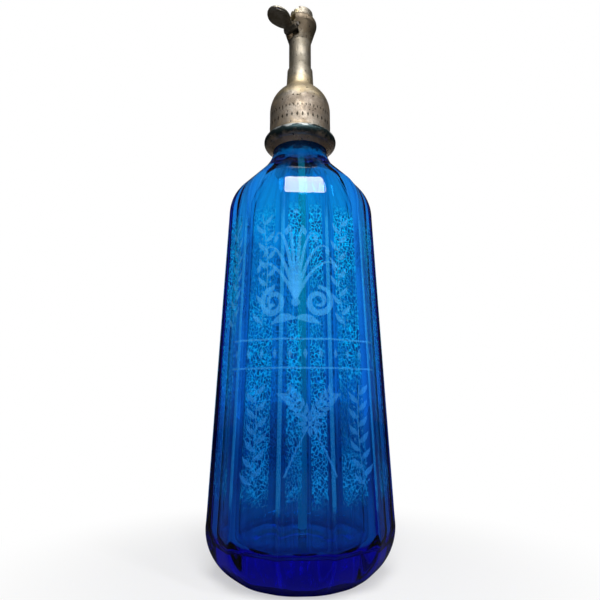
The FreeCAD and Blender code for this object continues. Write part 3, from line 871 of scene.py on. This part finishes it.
@dataclass
class GlassBottle:
    """The blown bottle: heel, ground panels, shoulder, neck and lip. Sizes in millimetres.

    Panels are pressed into the round blank by a share of its radius. Of that share, neck_press is left at
    the neck, and it drops towards foot_press down through the two heights of heel_fade.
    """

    foot_radius: float = 34.0
    foot_inner: float = 25.0
    foot_recess: float = 2.5
    foot_edge_in: float = 1.2
    foot_edge_out: float = 0.9
    heel_height: float = 26.0
    body_radius: float = 50.2
    shoulder_height: float = 193.0
    shoulder_radius: float = 42.6
    shoulder_round: float = 28.0
    neck_round: float = 22.5
    neck_radius: float = 16.0
    wall: float = 5.6
    foot_wall: float = 8.2
    floor_height: float = 18.0
    inner_heel: float = 7.0
    neck_bore: float = 9.5
    groove_rise: float = 1.2
    groove_radius: float = 13.5
    groove_height: float = 15.4
    lip_radius: float = 15.8
    lip_height: float = 8.0
    panels: int = PANELS
    panel_turn: float = PANEL_TURN
    cut: float = 0.033
    hollow: float = 0.012
    arris: float = 0.6
    neck_press: float = 0.25
    foot_press: float = 0.1
    heel_fade: Point = (-6.0, 34.0)
    segments: int = 288
    smooth: float = 40.0
    skin_depth: float = 0.05

    def __post_init__(self) -> None:
        """Work out the taper and the heights of the shoulder and the neck."""
        slant = math.sqrt(0.5)
        self.taper = (self.body_radius - self.shoulder_radius) / (self.shoulder_height - self.heel_height)
        self.slope_start = (self.shoulder_radius - self.shoulder_round * (1 - slant),
                            self.shoulder_height + self.shoulder_round * slant)
        flare = self.neck_radius + self.neck_round * (1 - slant)
        self.slope_end = (flare, sum(self.slope_start) - flare)
        self.neck_start = self.slope_end[1] + self.neck_round * slant

    def section(self) -> tuple[Outline, slice]:
        """Half section of the glass.

        Returns:
            The outline, and which of its points rise along the outer face from the foot to the neck.
        """
        heel = tangent_round(self.body_radius - self.foot_radius, self.heel_height)
        dish = tangent_round(self.foot_recess, self.foot_inner)
        foot_edge = tangent_round(self.foot_edge_out, self.foot_edge_in + self.foot_edge_out)
        groove_low = self.neck_start + self.groove_rise
        groove_high = groove_low + self.groove_height
        lip_top = groove_high + self.lip_height
        line = Outline(0.0, self.foot_recess)
        line.arc(self.foot_inner, 0.0, -dish, steps=10)
        line.line(self.foot_radius - self.foot_edge_in, 0.0, steps=2)
        foot = len(line.points) - 1
        line.arc(self.foot_radius + self.foot_edge_out, self.foot_edge_out, foot_edge, steps=4)
        line.arc(self.body_radius, self.heel_height, heel, steps=26)
        line.line(self.shoulder_radius, self.shoulder_height, steps=60)
        line.arc(*self.slope_start, self.shoulder_round, steps=20).line(*self.slope_end, steps=8)
        line.arc(self.neck_radius, self.neck_start, -self.neck_round, steps=12)
        neck = len(line.points)
        line.line(self.neck_radius, groove_low).line(self.groove_radius, groove_low)
        line.line(self.groove_radius, groove_high, steps=4).line(self.lip_radius, groove_high)
        line.line(self.lip_radius, lip_top, steps=2).line(self.neck_bore, lip_top, steps=2)
        line.line(self.neck_bore, groove_low, steps=4)
        low = self.body_radius - self.foot_wall
        heel_top = self.floor_height + self.inner_heel
        walls = ((heel_top, self.shoulder_height), (self.foot_wall, self.wall))
        line.points += [(radius - np.interp(height, *walls), height)
                        for radius, height in line.points[neck - 1:0:-1] if height > heel_top]
        line.line(low, heel_top)
        line.arc(low - self.inner_heel, self.floor_height, -self.inner_heel, steps=16)
        line.line(0.0, self.floor_height, steps=6)
        return line, slice(foot, neck)

    def panel_tree(self) -> Weaver:
        """Geometry nodes that press panels into the points marked as outer face.

        Each panel lies below the round blank by a share of its radius, a little more along its middle, and
        runs out below the neck and in the heel.

        Returns:
            The tree.
        """
        weaver = Weaver("PressPanels")
        count, turn, cut, hollow, arris = weaver.entries("Panels", "Turn", "Cut", "Hollow", "Arris")
        neck_start, neck_end = weaver.entries("Fade Start", "Fade End")
        heel_start, heel_end = weaver.entries("Heel Start", "Heel End")
        across, deep, high = weaver.parts(weaver.socket("GeometryNodeInputPosition"))
        radius = weaver.length(weaver.vector(across, deep))
        half = math.pi / count
        fold = weaver.math("WRAP", weaver.math("ARCTAN2", deep, across) - turn, half, half * -1.0)
        aside = fold / half
        dip = (1.0 - aside * aside) * hollow
        fade = high.ease(neck_start, neck_end, 1.0, self.neck_press)
        rise = high.ease(heel_start, heel_end, self.foot_press, 1.0)
        flat = radius * (1.0 - (cut + dip) * (fade * rise))
        pressed = weaver.math("SMOOTH_MIN", radius, flat / weaver.math("COSINE", fold), arris)
        share = pressed / radius.most(TINY)
        outer = weaver.socket("GeometryNodeInputNamedAttribute", {"data_type": "BOOLEAN"}, {"Name": "outer"})
        weaver.close(weaver.socket("GeometryNodeSetPosition", {}, {
            "Geometry": weaver.source.outputs[0],
            "Selection": outer,
            "Position": weaver.vector(across * share, deep * share, high)}))
        return weaver

    def surface(self, angle: np.ndarray, height: np.ndarray, lift: float) -> np.ndarray:
        """Points on the panelled outer face of the body, above the heel.

        Args:
            angle: Angles about the axis, in radians.
            height: Heights, in millimetres.
            lift: How far the points stand off the glass, in millimetres.

        Returns:
            Points in metres.
        """
        half = math.pi / self.panels
        fold = (angle - math.radians(self.panel_turn) + half) % (2 * half) - half
        blank = self.body_radius - self.taper * (height - self.heel_height)
        loss = self.cut + self.hollow * (1 - (fold / half) ** 2)
        flat = blank * (1 - loss) / np.cos(fold)
        spread = np.maximum(self.arris - np.abs(flat - blank), 0.0) / self.arris
        radius = np.minimum(flat, blank) - spread ** 3 * self.arris / 6.0 + lift
        return np.stack([radius * np.cos(angle), radius * np.sin(angle), height], axis=-1) * MM

    def build(self, material: bpy.types.Material) -> None:
        """Make the glass and put it in place of its solid.

        Args:
            material: Its finish.
        """
        section, outer = self.section()
        piece = lathe("glass_bottle_blown", section, self.segments, self.smooth)
        mark = piece.data.attributes.new("outer", "BOOLEAN", "POINT")
        across, deep, high = np.array([vertex.co for vertex in piece.data.vertices]).T / MM
        radius, height = np.array(section.points[outer]).T
        edge = np.interp(high, height, radius)
        outside = np.hypot(across, deep) > edge - self.skin_depth
        mark.data.foreach_set("value", outside & (high < self.neck_start))
        self.panel_tree().bake(piece, {
            "Panels": float(self.panels), "Turn": math.radians(self.panel_turn), "Cut": self.cut,
            "Hollow": self.hollow, "Arris": self.arris * MM,
            "Fade Start": self.shoulder_height * MM, "Fade End": self.neck_start * MM,
            "Heel Start": self.heel_fade[0] * MM, "Heel End": self.heel_fade[1] * MM,
            "Material": material})
        shade(piece, self.smooth)
        finish_piece(piece, material, Body.FIXED, Slot.BLUE_GLASS, "glass_bottle")


@dataclass
class FrostedSleeves:
    """Ground glass in the neck and lime on the dip tube, as thin tubes. Sizes in millimetres."""

    bottle: GlassBottle
    skin: float = 0.04
    neck_inset: float = 0.2
    neck_reach: float = 14.0
    painted_shade_below: float = 7.5
    tube_radius: float = 3.76
    tube_ends: Point = (22.0, 234.0)
    segments: int = 64

    def sleeve(self, name: str, radius: float, ends: Point, finish: AcidEtching, slot: Slot) -> None:
        """Make one tube.

        Args:
            name: Name of the piece.
            radius: Its outer radius.
            ends: Its lower and upper height.
            finish: Its frost.
            slot: The material slot of the record.
        """
        low, high = ends
        inner = radius - self.skin
        line = Outline(radius, low).line(radius, high, steps=4).line(inner, high).line(inner, low, steps=4)
        finish_piece(lathe(name, line, self.segments), finish.paint(), Body.FIXED, slot)

    def build(self) -> None:
        """Make both tubes."""
        neck = self.bottle.neck_start
        # The ground glass glows, as painted light, and turns dark from a little below the start of the neck
        # upwards, as painted shade under the collar. The lime bloom glows too, as painted light.
        ground = AcidEtching("ground_glass", (0.0, 0.42, 0.62), glow=0.3, cover=0.5,
                             painted_shade_from=neck - self.painted_shade_below)
        ends = (neck - self.neck_reach, neck + self.neck_reach)
        radius = self.bottle.groove_radius - self.neck_inset
        self.sleeve("ground_neck", radius, ends, ground, Slot.BLUE_GLASS)
        self.sleeve("tube_bloom", self.tube_radius, self.tube_ends, LIME_BLOOM, Slot.PALE_GLASS)


@dataclass
class EtchedPanels:
    """Acid-etched skins just off the glass. Sizes in millimetres.

    Panels are counted from the one on the right, and halves are arrises. A strip is its middle and its
    width. The strips on the arrises are painted highlights.
    """

    bottle: GlassBottle
    lift: float = 0.05
    low: float = 34.0
    high: float = 194.0
    share: float = 0.86
    arris_share: float = 0.08
    network_panels: tuple[int, ...] = (0, 1, 2, 3, 4, 5, 6)
    lace_strips: tuple[Point, ...] = ((7, 0.6), (8, 0.6), (8.77, 0.3), (9.25, 0.3), (10, 0.6), (11, 0.6))
    rows: int = 40
    columns: int = 8

    def skin(self, name: str, strips: Iterable[Point]) -> bpy.types.Object:
        """Sheets on the glass.

        Args:
            name: Name of the piece.
            strips: Middle and width of each sheet, in panels.

        Returns:
            The linked object.
        """
        points, faces = [], []
        for panel, share in strips:
            half = math.pi / self.bottle.panels * share
            middle = math.radians(self.bottle.panel_turn) + 2 * math.pi * panel / self.bottle.panels
            angle, height = np.meshgrid(np.linspace(middle - half, middle + half, self.columns + 1),
                                        np.linspace(self.low, self.high, self.rows + 1))
            faces += grid_faces(self.rows, self.columns, len(points) * angle.size)
            points.append(self.bottle.surface(angle, height, self.lift).reshape(-1, 3))
        return mesh_object(name, np.concatenate(points), faces)

    def build(self) -> None:
        """Make the etched skins, and the painted highlights on the arrises."""
        network = [(panel, self.share) for panel in self.network_panels]
        arrises = [(panel + 0.5, self.arris_share) for panel in range(self.bottle.panels)]
        for name, strips, finish in (("etched_network", network, ETCHED_LINES),
                                     ("etched_lace", self.lace_strips, ETCHED_LACE),
                                     ("arris_highlight_sheets", arrises, ARRIS_HIGHLIGHT)):
            finish_piece(self.skin(name, strips), finish.paint(), Body.FIXED, Slot.BLUE_GLASS)


@dataclass
class EtchedOrnament:
    """Frosted leaves, scrolls, rules and lozenges on the front panels. Sizes in millimetres.

    Places are flat: the distance round the glass from the middle of the front panel, and the height. Strokes
    that cross lie a step apart, so that none lies in the face of another.
    """

    bottle: GlassBottle
    lift: float = 0.06
    step: float = 0.002
    levels: int = 12
    columns: int = 4
    front: float = 273.4
    blank_radius: float = 46.0
    rules: tuple[float, float] = (104.0, 118.0)
    rule_reach: float = 42.0
    rule_width: float = 0.9
    lozenge: float = 1.5
    lozenge_stretch: tuple[float, ...] = (0.8, 1.7, 1.0)
    lozenges: int = 11
    fountain_foot: Point = (-5.0, 138.0)
    fountain_size: float = 44.0
    jets: tuple[Point, ...] = ((0.1, 1.0), (0.24, 0.9), (0.38, 0.72), (0.48, 0.5))
    upper_garlands: tuple[Point, ...] = ((-24.0, 3.0), (22.0, -3.0), (-46.0, 3.0))
    upper_ends: Point = (124.0, 184.0)
    lower_garlands: tuple[Point, ...] = ((-27.0, 2.5), (30.0, -2.5))
    lower_ends: Point = (48.0, 96.0)
    stem: float = 0.32
    sway_length: float = 17.0
    leaf_reach: Point = (5.6, 5.0)
    leaf_bend: float = 1.4
    leaf_width: float = 2.6
    berry_place: Point = (2.4, 1.5)
    berry: float = 0.55
    branch_middle: Point = (2.0, 78.0)
    branch_size: float = 19.0
    twig_reach: Point = (5.5, 1.0)
    twig_bend: float = 1.0
    twig_width: float = 2.2
    rosette: Point = (1.6, 6.0)
    rosette_width: float = 2.5
    rosette_heart: float = 1.1

    def __post_init__(self) -> None:
        """Start with nothing drawn."""
        self.points: list[np.ndarray] = []
        self.faces: list[tuple[int, ...]] = []
        self.count = 0
        self.strips = 0

    def wrap(self, flat: np.ndarray, lift: float) -> np.ndarray:
        """Lay flat places on the glass, as points in metres."""
        angle = math.radians(self.front) + flat[:, 0] / self.blank_radius
        return self.bottle.surface(angle, flat[:, 1], lift)

    def strip(self, path: np.ndarray, half: np.ndarray) -> None:
        """Draw a stroke.

        Args:
            path: Places along its middle.
            half: Half its width at each place.
        """
        along = np.gradient(path, axis=0)
        side = np.stack([-along[:, 1], along[:, 0]], axis=-1)
        side /= np.maximum(np.linalg.norm(side, axis=1, keepdims=True), TINY)
        across = np.linspace(-1, 1, self.columns + 1)
        flat = (path[:, None] + side[:, None] * (half[:, None] * across)[..., None]).reshape(-1, 2)
        self.points.append(self.wrap(flat, self.lift + self.strips * self.step))
        self.faces += grid_faces(len(path) - 1, self.columns, self.count)
        self.count += len(flat)
        self.strips = (self.strips + 1) % self.levels

    def leaf(self, base: Point, tip: Point, bend: float, width: float) -> None:
        """Draw a leaf.

        Args:
            base: Where it grows from.
            tip: Where it ends.
            bend: How far it is bowed to the left.
            width: Its greatest width.
        """
        share = np.linspace(0, 1, 15)[:, None]
        start, end = np.array(base), np.array(tip)
        way = end - start
        middle = (start + end) / 2 + np.array((-way[1], way[0])) / np.linalg.norm(way) * bend
        path = (1 - share) ** 2 * start + 2 * share * (1 - share) * middle + share ** 2 * end
        self.strip(path, width / 2 * np.sin(np.pi * np.clip(share[:, 0], 0.02, 0.98) ** 0.8))

    def scroll(self, centre: Point, radius: float, turns: float, width: float) -> None:
        """Draw a volute that winds in, from above its centre, to a bud.

        Args:
            centre: Its middle.
            radius: Its reach at the start.
            turns: Turns to the left.
            width: Its greatest width.
        """
        share = np.linspace(0, 1, 40)
        angle = math.pi / 2 + turns * 2 * math.pi * share
        reach = radius * (1 - 0.78 * share)
        path = np.array(centre) + np.stack([reach * np.cos(angle), reach * np.sin(angle)], axis=-1)
        self.strip(path, width / 2 * (0.35 + 0.65 * np.sin(np.pi * np.clip(share, 0.02, 1) ** 0.6)))

    def dot(self, centre: Point, radius: float) -> None:
        """Draw a round dot.

        Args:
            centre: Its middle.
            radius: Its radius.
        """
        share = np.linspace(-1, 1, 11)
        path = np.array(centre) + np.stack([np.zeros_like(share), share * radius], axis=-1)
        self.strip(path, radius * np.sqrt(np.maximum(1 - share ** 2, 1e-4)))

    def rule(self, height: float) -> None:
        """Draw a line round the front panels.

        Args:
            height: Its height.
        """
        across = np.linspace(-self.rule_reach, self.rule_reach, 120)
        path = np.stack([across, np.full_like(across, height)], axis=-1)
        self.strip(path, np.full_like(across, self.rule_width / 2))

    def fountain(self) -> None:
        """Draw arching jets with drops at their ends over two volutes and a bowl, in shares of a size."""
        across, up = self.fountain_foot
        size = self.fountain_size
        share = np.linspace(0, 1, 30)
        for reach, rise in self.jets:
            for side in (-1, 1):
                arch = up + size * rise * share * (2 - 1.15 * share)
                path = np.stack([across + side * size * reach * share, arch], axis=-1)
                self.strip(path, np.linspace(0.025, 0.008, len(share)) * size)
                drop = (path[-1][0] + side * 0.02 * size, path[-1][1] - 0.1 * size)
                self.leaf(tuple(path[-1]), drop, 0.0, 0.06 * size)
        for side in (-1, 1):
            volute = (across + side * 0.27 * size, up - 0.03 * size)
            self.scroll(volute, 0.17 * size, -side * 1.6, 0.07 * size)
            bowl_end = (across + side * 0.3 * size, up - 0.3 * size)
            self.leaf((across, up - 0.22 * size), bowl_end, side * 3.0, 0.09 * size)
        self.dot((across, up - 0.04 * size), 0.05 * size)
        self.dot((across, up + 1.05 * size), 0.03 * size)

    def garland(self, across: float, sway: float, ends: Point) -> None:
        """Draw a swaying stem with leaves and berries to either side.

        Args:
            across: Place of the stem.
            sway: How far it sways.
            ends: Its lower and upper height.
        """
        height = np.linspace(*ends, 90)
        wave = across + sway * np.sin((height - ends[0]) / self.sway_length)
        self.strip(np.stack([wave, height], axis=-1), np.full_like(height, self.stem))
        for number, place in enumerate(range(4, 86, 7)):
            side = 1 if number % 2 else -1
            base = (wave[place], height[place])
            tip = (base[0] + side * self.leaf_reach[0], base[1] + self.leaf_reach[1])
            self.leaf(base, tip, -side * self.leaf_bend, self.leaf_width)
            self.dot((base[0] - side * self.berry_place[0], base[1] + self.berry_place[1]), self.berry)

    def branches(self) -> None:
        """Draw two crossed branches and a rosette where they cross."""
        across, up = self.branch_middle
        long, short = self.twig_reach
        for side in (-1, 1):
            share = np.linspace(-1, 1, 50)
            arch = up + self.branch_size * (share - 0.25 * share ** 2)
            path = np.stack([across + side * share * self.branch_size * 0.62, arch], axis=-1)
            self.strip(path, np.linspace(0.45, 0.2, len(share)))
            for base in path[30::4]:
                outer = (base[0] + side * long, base[1] + short)
                inner = (base[0] - side * short, base[1] + long)
                self.leaf(tuple(base), outer, -side * self.twig_bend, self.twig_width)
                self.leaf(tuple(base), inner, side * self.twig_bend, self.twig_width)
        for lean in np.radians(range(0, 360, 45)):
            base, tip = [(across + reach * math.cos(lean), up + reach * math.sin(lean))
                         for reach in self.rosette]
            self.leaf(base, tip, 0.0, self.rosette_width)
        self.dot(self.branch_middle, self.rosette_heart)

    def lozenge_row(self, material: bpy.types.Material) -> bpy.types.Object:
        """Repeat a lozenge by geometry nodes and lay the row on the glass between the rules.

        Args:
            material: Its finish.

        Returns:
            The linked object.
        """
        weaver = Weaver("LozengeRow")
        count = weaver.entry("Count", "NodeSocketInt")
        pitch, size, height = weaver.entries("Pitch", "Size", "Height")
        start = (count - 1.0) * pitch * -0.5
        row = weaver.socket("GeometryNodeMeshLine", {}, {
            "Count": count, "Start Location": weaver.vector(start, height), "Offset": weaver.vector(pitch)})
        weaver.stamp(row, {"Vertices": 4, "Radius": size}, self.lozenge_stretch)
        piece = weaver.grow("etched_lozenges", {
            "Count": self.lozenges, "Pitch": 2 * self.rule_reach / self.lozenges, "Size": self.lozenge,
            "Height": sum(self.rules) / 2, "Material": material})
        flat = np.array([vertex.co[:2] for vertex in piece.data.vertices])
        piece.data.vertices.foreach_set("co", self.wrap(flat, self.lift).ravel())
        return piece

    def build(self, material: bpy.types.Material) -> None:
        """Draw everything and lay it on the glass.

        Args:
            material: The finish of all strokes.
        """
        self.fountain()
        for across, sway in self.upper_garlands:
            self.garland(across, sway, self.upper_ends)
        for height in self.rules:
            self.rule(height)
        self.branches()
        for across, sway in self.lower_garlands:
            self.garland(across, sway, self.lower_ends)
        piece = mesh_object("etched_ornament", np.concatenate(self.points), self.faces)
        finish_piece(piece, material, Body.FIXED, Slot.BLUE_GLASS)
        finish_piece(self.lozenge_row(material), material, Body.FIXED, Slot.BLUE_GLASS)


# Head

@dataclass
class LeverLeaf:
    """Smooth leaf over the paddle of the lever. Sizes in millimetres.

    Each station is a reach from the axis, a half width, a half depth and a rise above the hinge.
    """

    turn: float = 225.0
    hinge_height: float = 321.518
    stations: tuple[tuple[float, float, float, float], ...] = (
        (9.4, 3.0, 1.3, 0.1), (10.6, 3.5, 1.45, 0.4), (12.2, 4.5, 1.5, 0.65), (14.0, 5.7, 1.5, 0.9),
        (16.0, 6.6, 1.5, 1.2), (18.2, 7.0, 1.5, 1.55), (20.2, 6.9, 1.5, 1.9), (22.2, 6.2, 1.5, 2.35),
        (24.0, 4.9, 1.45, 2.8), (25.2, 3.3, 1.2, 3.1), (25.9, 1.6, 0.7, 3.25), (26.1, 0.5, 0.3, 3.3))
    ring: int = 28
    edge_power: float = 0.7
    smooth: float = 50.0

    def build(self, material: bpy.types.Material) -> None:
        """Loft the leaf through its stations.

        Args:
            material: Its finish.
        """
        around = np.linspace(0, 2 * math.pi, self.ring, endpoint=False)
        aside = np.cos(around)
        over = np.sign(np.sin(around)) * np.abs(np.sin(around)) ** self.edge_power
        lean = math.radians(self.turn)
        out = np.array((math.cos(lean), math.sin(lean), 0))
        side = np.array((-math.sin(lean), math.cos(lean), 0))
        points = []
        for reach, half, deep, rise in self.stations:
            height = self.hinge_height + rise + deep * over
            points.append(reach * out + half * aside[:, None] * side + height[:, None] * (0, 0, 1))
        rows = len(self.stations)
        faces = [(row * self.ring + step, row * self.ring + (step + 1) % self.ring,
                  (row + 1) * self.ring + (step + 1) % self.ring, (row + 1) * self.ring + step)
                 for row in range(rows - 1) for step in range(self.ring)]
        faces += [tuple(range(self.ring)), tuple(range((rows - 1) * self.ring, rows * self.ring))]
        piece = mesh_object("lever_leaf", np.concatenate(points) * MM, faces, self.smooth)
        finish_piece(piece, material, Body.LEVER, Slot.PEWTER)


@dataclass
class BellMarks:
    """Rows of small punched marks round the bell, as dark flat sheets of painted shadow. Sizes in
    millimetres.

    Each row is its height, the number of marks, their size and their corners.
    """

    radius: float = 18.74
    rows: tuple[tuple[float, int, float, int], ...] = ((253.6, 34, 1.05, 4), (259.8, 44, 0.6, 8))
    sweep: float = 320.0
    stretch: tuple[float, ...] = (0.6, 1.5, 1.0)
    upright: tuple[float, ...] = (math.pi / 2, 0.0, math.pi / 2)

    def tree(self) -> Weaver:
        """Geometry nodes that set a flat mark upright at equal steps round a circle, evenly about the front.

        Returns:
            The tree.
        """
        weaver = Weaver("PunchedRow")
        count, corners = [weaver.entry(name, "NodeSocketInt") for name in ("Count", "Corners")]
        radius, height, size, sweep = weaver.entries("Radius", "Height", "Size", "Sweep")
        line = weaver.socket("GeometryNodeMeshLine", {}, {"Count": count, "Offset": (0.0, 0.0, 0.0)})
        share = weaver.value("GeometryNodeInputIndex") / (count - 1.0)
        angle = (share - 0.5) * sweep - math.pi / 2
        across, deep = [weaver.math(name, angle) * radius for name in ("COSINE", "SINE")]
        place = weaver.vector(across, deep, height)
        ring = weaver.socket("GeometryNodeSetPosition", {}, {"Geometry": line, "Position": place})
        facing = weaver.vector(0.0, 0.0, angle)
        weaver.stamp(ring, {"Vertices": corners, "Radius": size}, self.stretch, self.upright, facing)
        return weaver

    def build(self, material: bpy.types.Material) -> None:
        """Punch each row.

        Args:
            material: The finish of the marks.
        """
        weaver = self.tree()
        for number, (height, count, size, corners) in enumerate(self.rows, 1):
            piece = weaver.grow(f"bell_marks_{number}", {
                "Count": count, "Radius": self.radius * MM, "Height": height * MM, "Size": size * MM,
                "Corners": corners, "Sweep": math.radians(self.sweep), "Material": material})
            finish_piece(piece, material, Body.FIXED, Slot.PEWTER)


def spring_coil(material: bpy.types.Material) -> None:
    """Copy the spring into a piece of its own on the fixed body, with its doubled points merged.

    Args:
        material: Its finish.
    """
    piece = link_mesh("valve_spring_coil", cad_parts["valve_spring"].data.copy())
    finish_piece(piece, material, Body.FIXED, Slot.STEEL, "valve_spring")
    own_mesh(piece)


def dress_solids(looks: dict[bpy.types.Material, Sequence[str]]) -> None:
    """Give the CAD nodes that stay in view or inside their finishes.

    Args:
        looks: The nodes that take each material.
    """
    for material, nodes in looks.items():
        for node in nodes:
            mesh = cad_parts[node].data
            mesh.materials.clear()
            mesh.materials.append(material)
            LOG.info("%s keeps its solid, in %s", node, material.name)


# Studio

@dataclass(frozen=True)
class Softbox:
    """A rectangular lamp: its place and size in metres, and its power in watts."""

    name: str
    place: tuple[float, float, float]
    size: Point
    power: float


@dataclass
class Studio:
    """Camera, floor, backdrop and lamps. Places in metres."""

    eye: Vector = field(default_factory=lambda: Vector((0.0, -0.288, 0.0888)))
    pitch: float = 11.2
    focal_pixels: float = 506.0
    frame_pixels: float = 600.0
    sensor: float = 36.0
    near: float = 0.01
    ambient: float = 0.45
    room: float = 0.03
    mirrored_floor: Colour = (0.06, 0.06, 0.065)
    pale_floor: Colour = (0.85, 0.85, 0.85)
    floor_reach: float = 4.0
    floor_drop: float = 0.02 * MM
    lit_point: tuple[float, float, float] = (0.0, 0.0, 0.2)
    lamps: tuple[Softbox, ...] = (Softbox("window", (0.05, -0.8, 1.1), (0.5, 0.85), 17.5),
                                  Softbox("side_window", (0.8, -0.75, 1.2), (0.14, 0.6), 4.0))

    def camera(self) -> None:
        """Stand the camera low in front of the bottle, looking up."""
        data = bpy.data.cameras.new("camera")
        data.sensor_width = self.sensor
        data.lens = self.sensor * self.focal_pixels / self.frame_pixels
        data.clip_start = self.near
        item = bpy.data.objects.new("camera", data)
        item.location = self.eye
        item.rotation_euler = (math.radians(90 + self.pitch), 0, 0)
        bpy.context.scene.collection.objects.link(item)
        bpy.context.scene.camera = item

    def hang(self, lamp: Softbox) -> None:
        """Hang a softbox that faces the bottle.

        Args:
            lamp: The softbox.
        """
        data = bpy.data.lights.new(lamp.name, "AREA")
        data.shape = "RECTANGLE"
        data.size, data.size_y = lamp.size
        data.energy = lamp.power
        item = bpy.data.objects.new(lamp.name, data)
        item.location = lamp.place
        aim = Vector(self.lit_point) - Vector(lamp.place)
        item.rotation_euler = aim.to_track_quat("-Z", "Y").to_euler()
        bpy.context.scene.collection.objects.link(item)

    def backdrop(self) -> None:
        """White to the eye and through the glass, a dim room for gloss, soft grey light for the rest."""
        world = bpy.data.worlds.new("backdrop")
        bpy.context.scene.world = world
        painter = Painter(world, "World")
        rays = painter.rays()
        _, back, _ = painter.parts(painter.socket("ShaderNodeTexCoord", output="Generated"))
        mirrored = rays["Reflection"] * back.ease(0.86, 1.0, self.room, 1.0)
        scattered = (1 - rays["Reflection"]) * self.ambient
        seen = rays["Camera"].most(rays["Transmission"])
        strength = seen + (1 - seen) * (mirrored + scattered)
        painter.send(painter.node("ShaderNodeBackground", {}, {"Color": (1, 1, 1), "Strength": strength}))

    def floor(self) -> None:
        """A wide pale floor, white to the eye away from the shadow, and grey through the glass."""
        material = bpy.data.materials.new("pale_floor")
        painter = Painter(material)
        rays = painter.rays()
        away = painter.length(painter.place())
        to_eye = rays["Camera"] * away.ease(0.05, 0.2, 0.55, 1.0)
        shown = to_eye.most(rays["Transmission"] * away.ease(0.15, 2.5, 0.32, 0.62))
        pale = painter.mix(rays["Camera"].most(rays["Diffuse"]), self.mirrored_floor, self.pale_floor)
        matt = painter.socket("ShaderNodeBsdfDiffuse", {}, {"Color": pale})
        glow = painter.socket("ShaderNodeEmission", {}, {"Color": (1, 1, 1), "Strength": 1.0})
        painter.send(painter.node("ShaderNodeMixShader", {}, {0: shown, 1: matt, 2: glow}))
        corners = [(x * self.floor_reach, y * self.floor_reach, -self.floor_drop)
                   for x, y in ((-1, -1), (1, -1), (1, 1), (-1, 1))]
        plane = mesh_object("floor", np.array(corners), [(0, 1, 2, 3)])
        plane.data.materials.append(material)

    def build(self) -> None:
        """Set up the whole studio."""
        bpy.context.scene.view_settings.view_transform = "Standard"
        self.camera()
        self.backdrop()
        self.floor()
        for lamp in self.lamps:
            self.hang(lamp)


def main() -> None:
    """Build every piece in order."""
    logging.basicConfig(level=logging.INFO, format="%(message)s")
    Studio().build()
    bottle = GlassBottle()
    bottle.build(BLUE_GLASS.paint())
    EtchedPanels(bottle).build()
    FrostedSleeves(bottle).build()
    EtchedOrnament(bottle).build(ETCHED_FILL.paint())
    dark_pewter, steel = DARK_PEWTER.paint(), PIN_STEEL.paint()
    LeverLeaf().build(dark_pewter)
    spring_coil(steel)
    BellMarks().build(MARK_SHADOW.paint())
    dress_solids({
        PALE_GLASS.paint(): ("dip_tube",),
        PEWTER.paint(): ("bell", "valve_body", "spout"),
        dark_pewter: ("lever",),
        COLLAR_METAL.paint(): ("collar_half_front", "collar_half_back"),
        OLD_BRASS.paint(): ("valve_piston", "top_plug", "washer_screw", "tube_nut"),
        steel: ("lever_pin",),
        AGED_RUBBER.paint(): ("neck_gasket", "valve_washer", "tube_ring"),
        GREASED_LEATHER.paint(): ("spout_washer", "piston_seal"),
    })


if __name__ == "__main__":
    main()
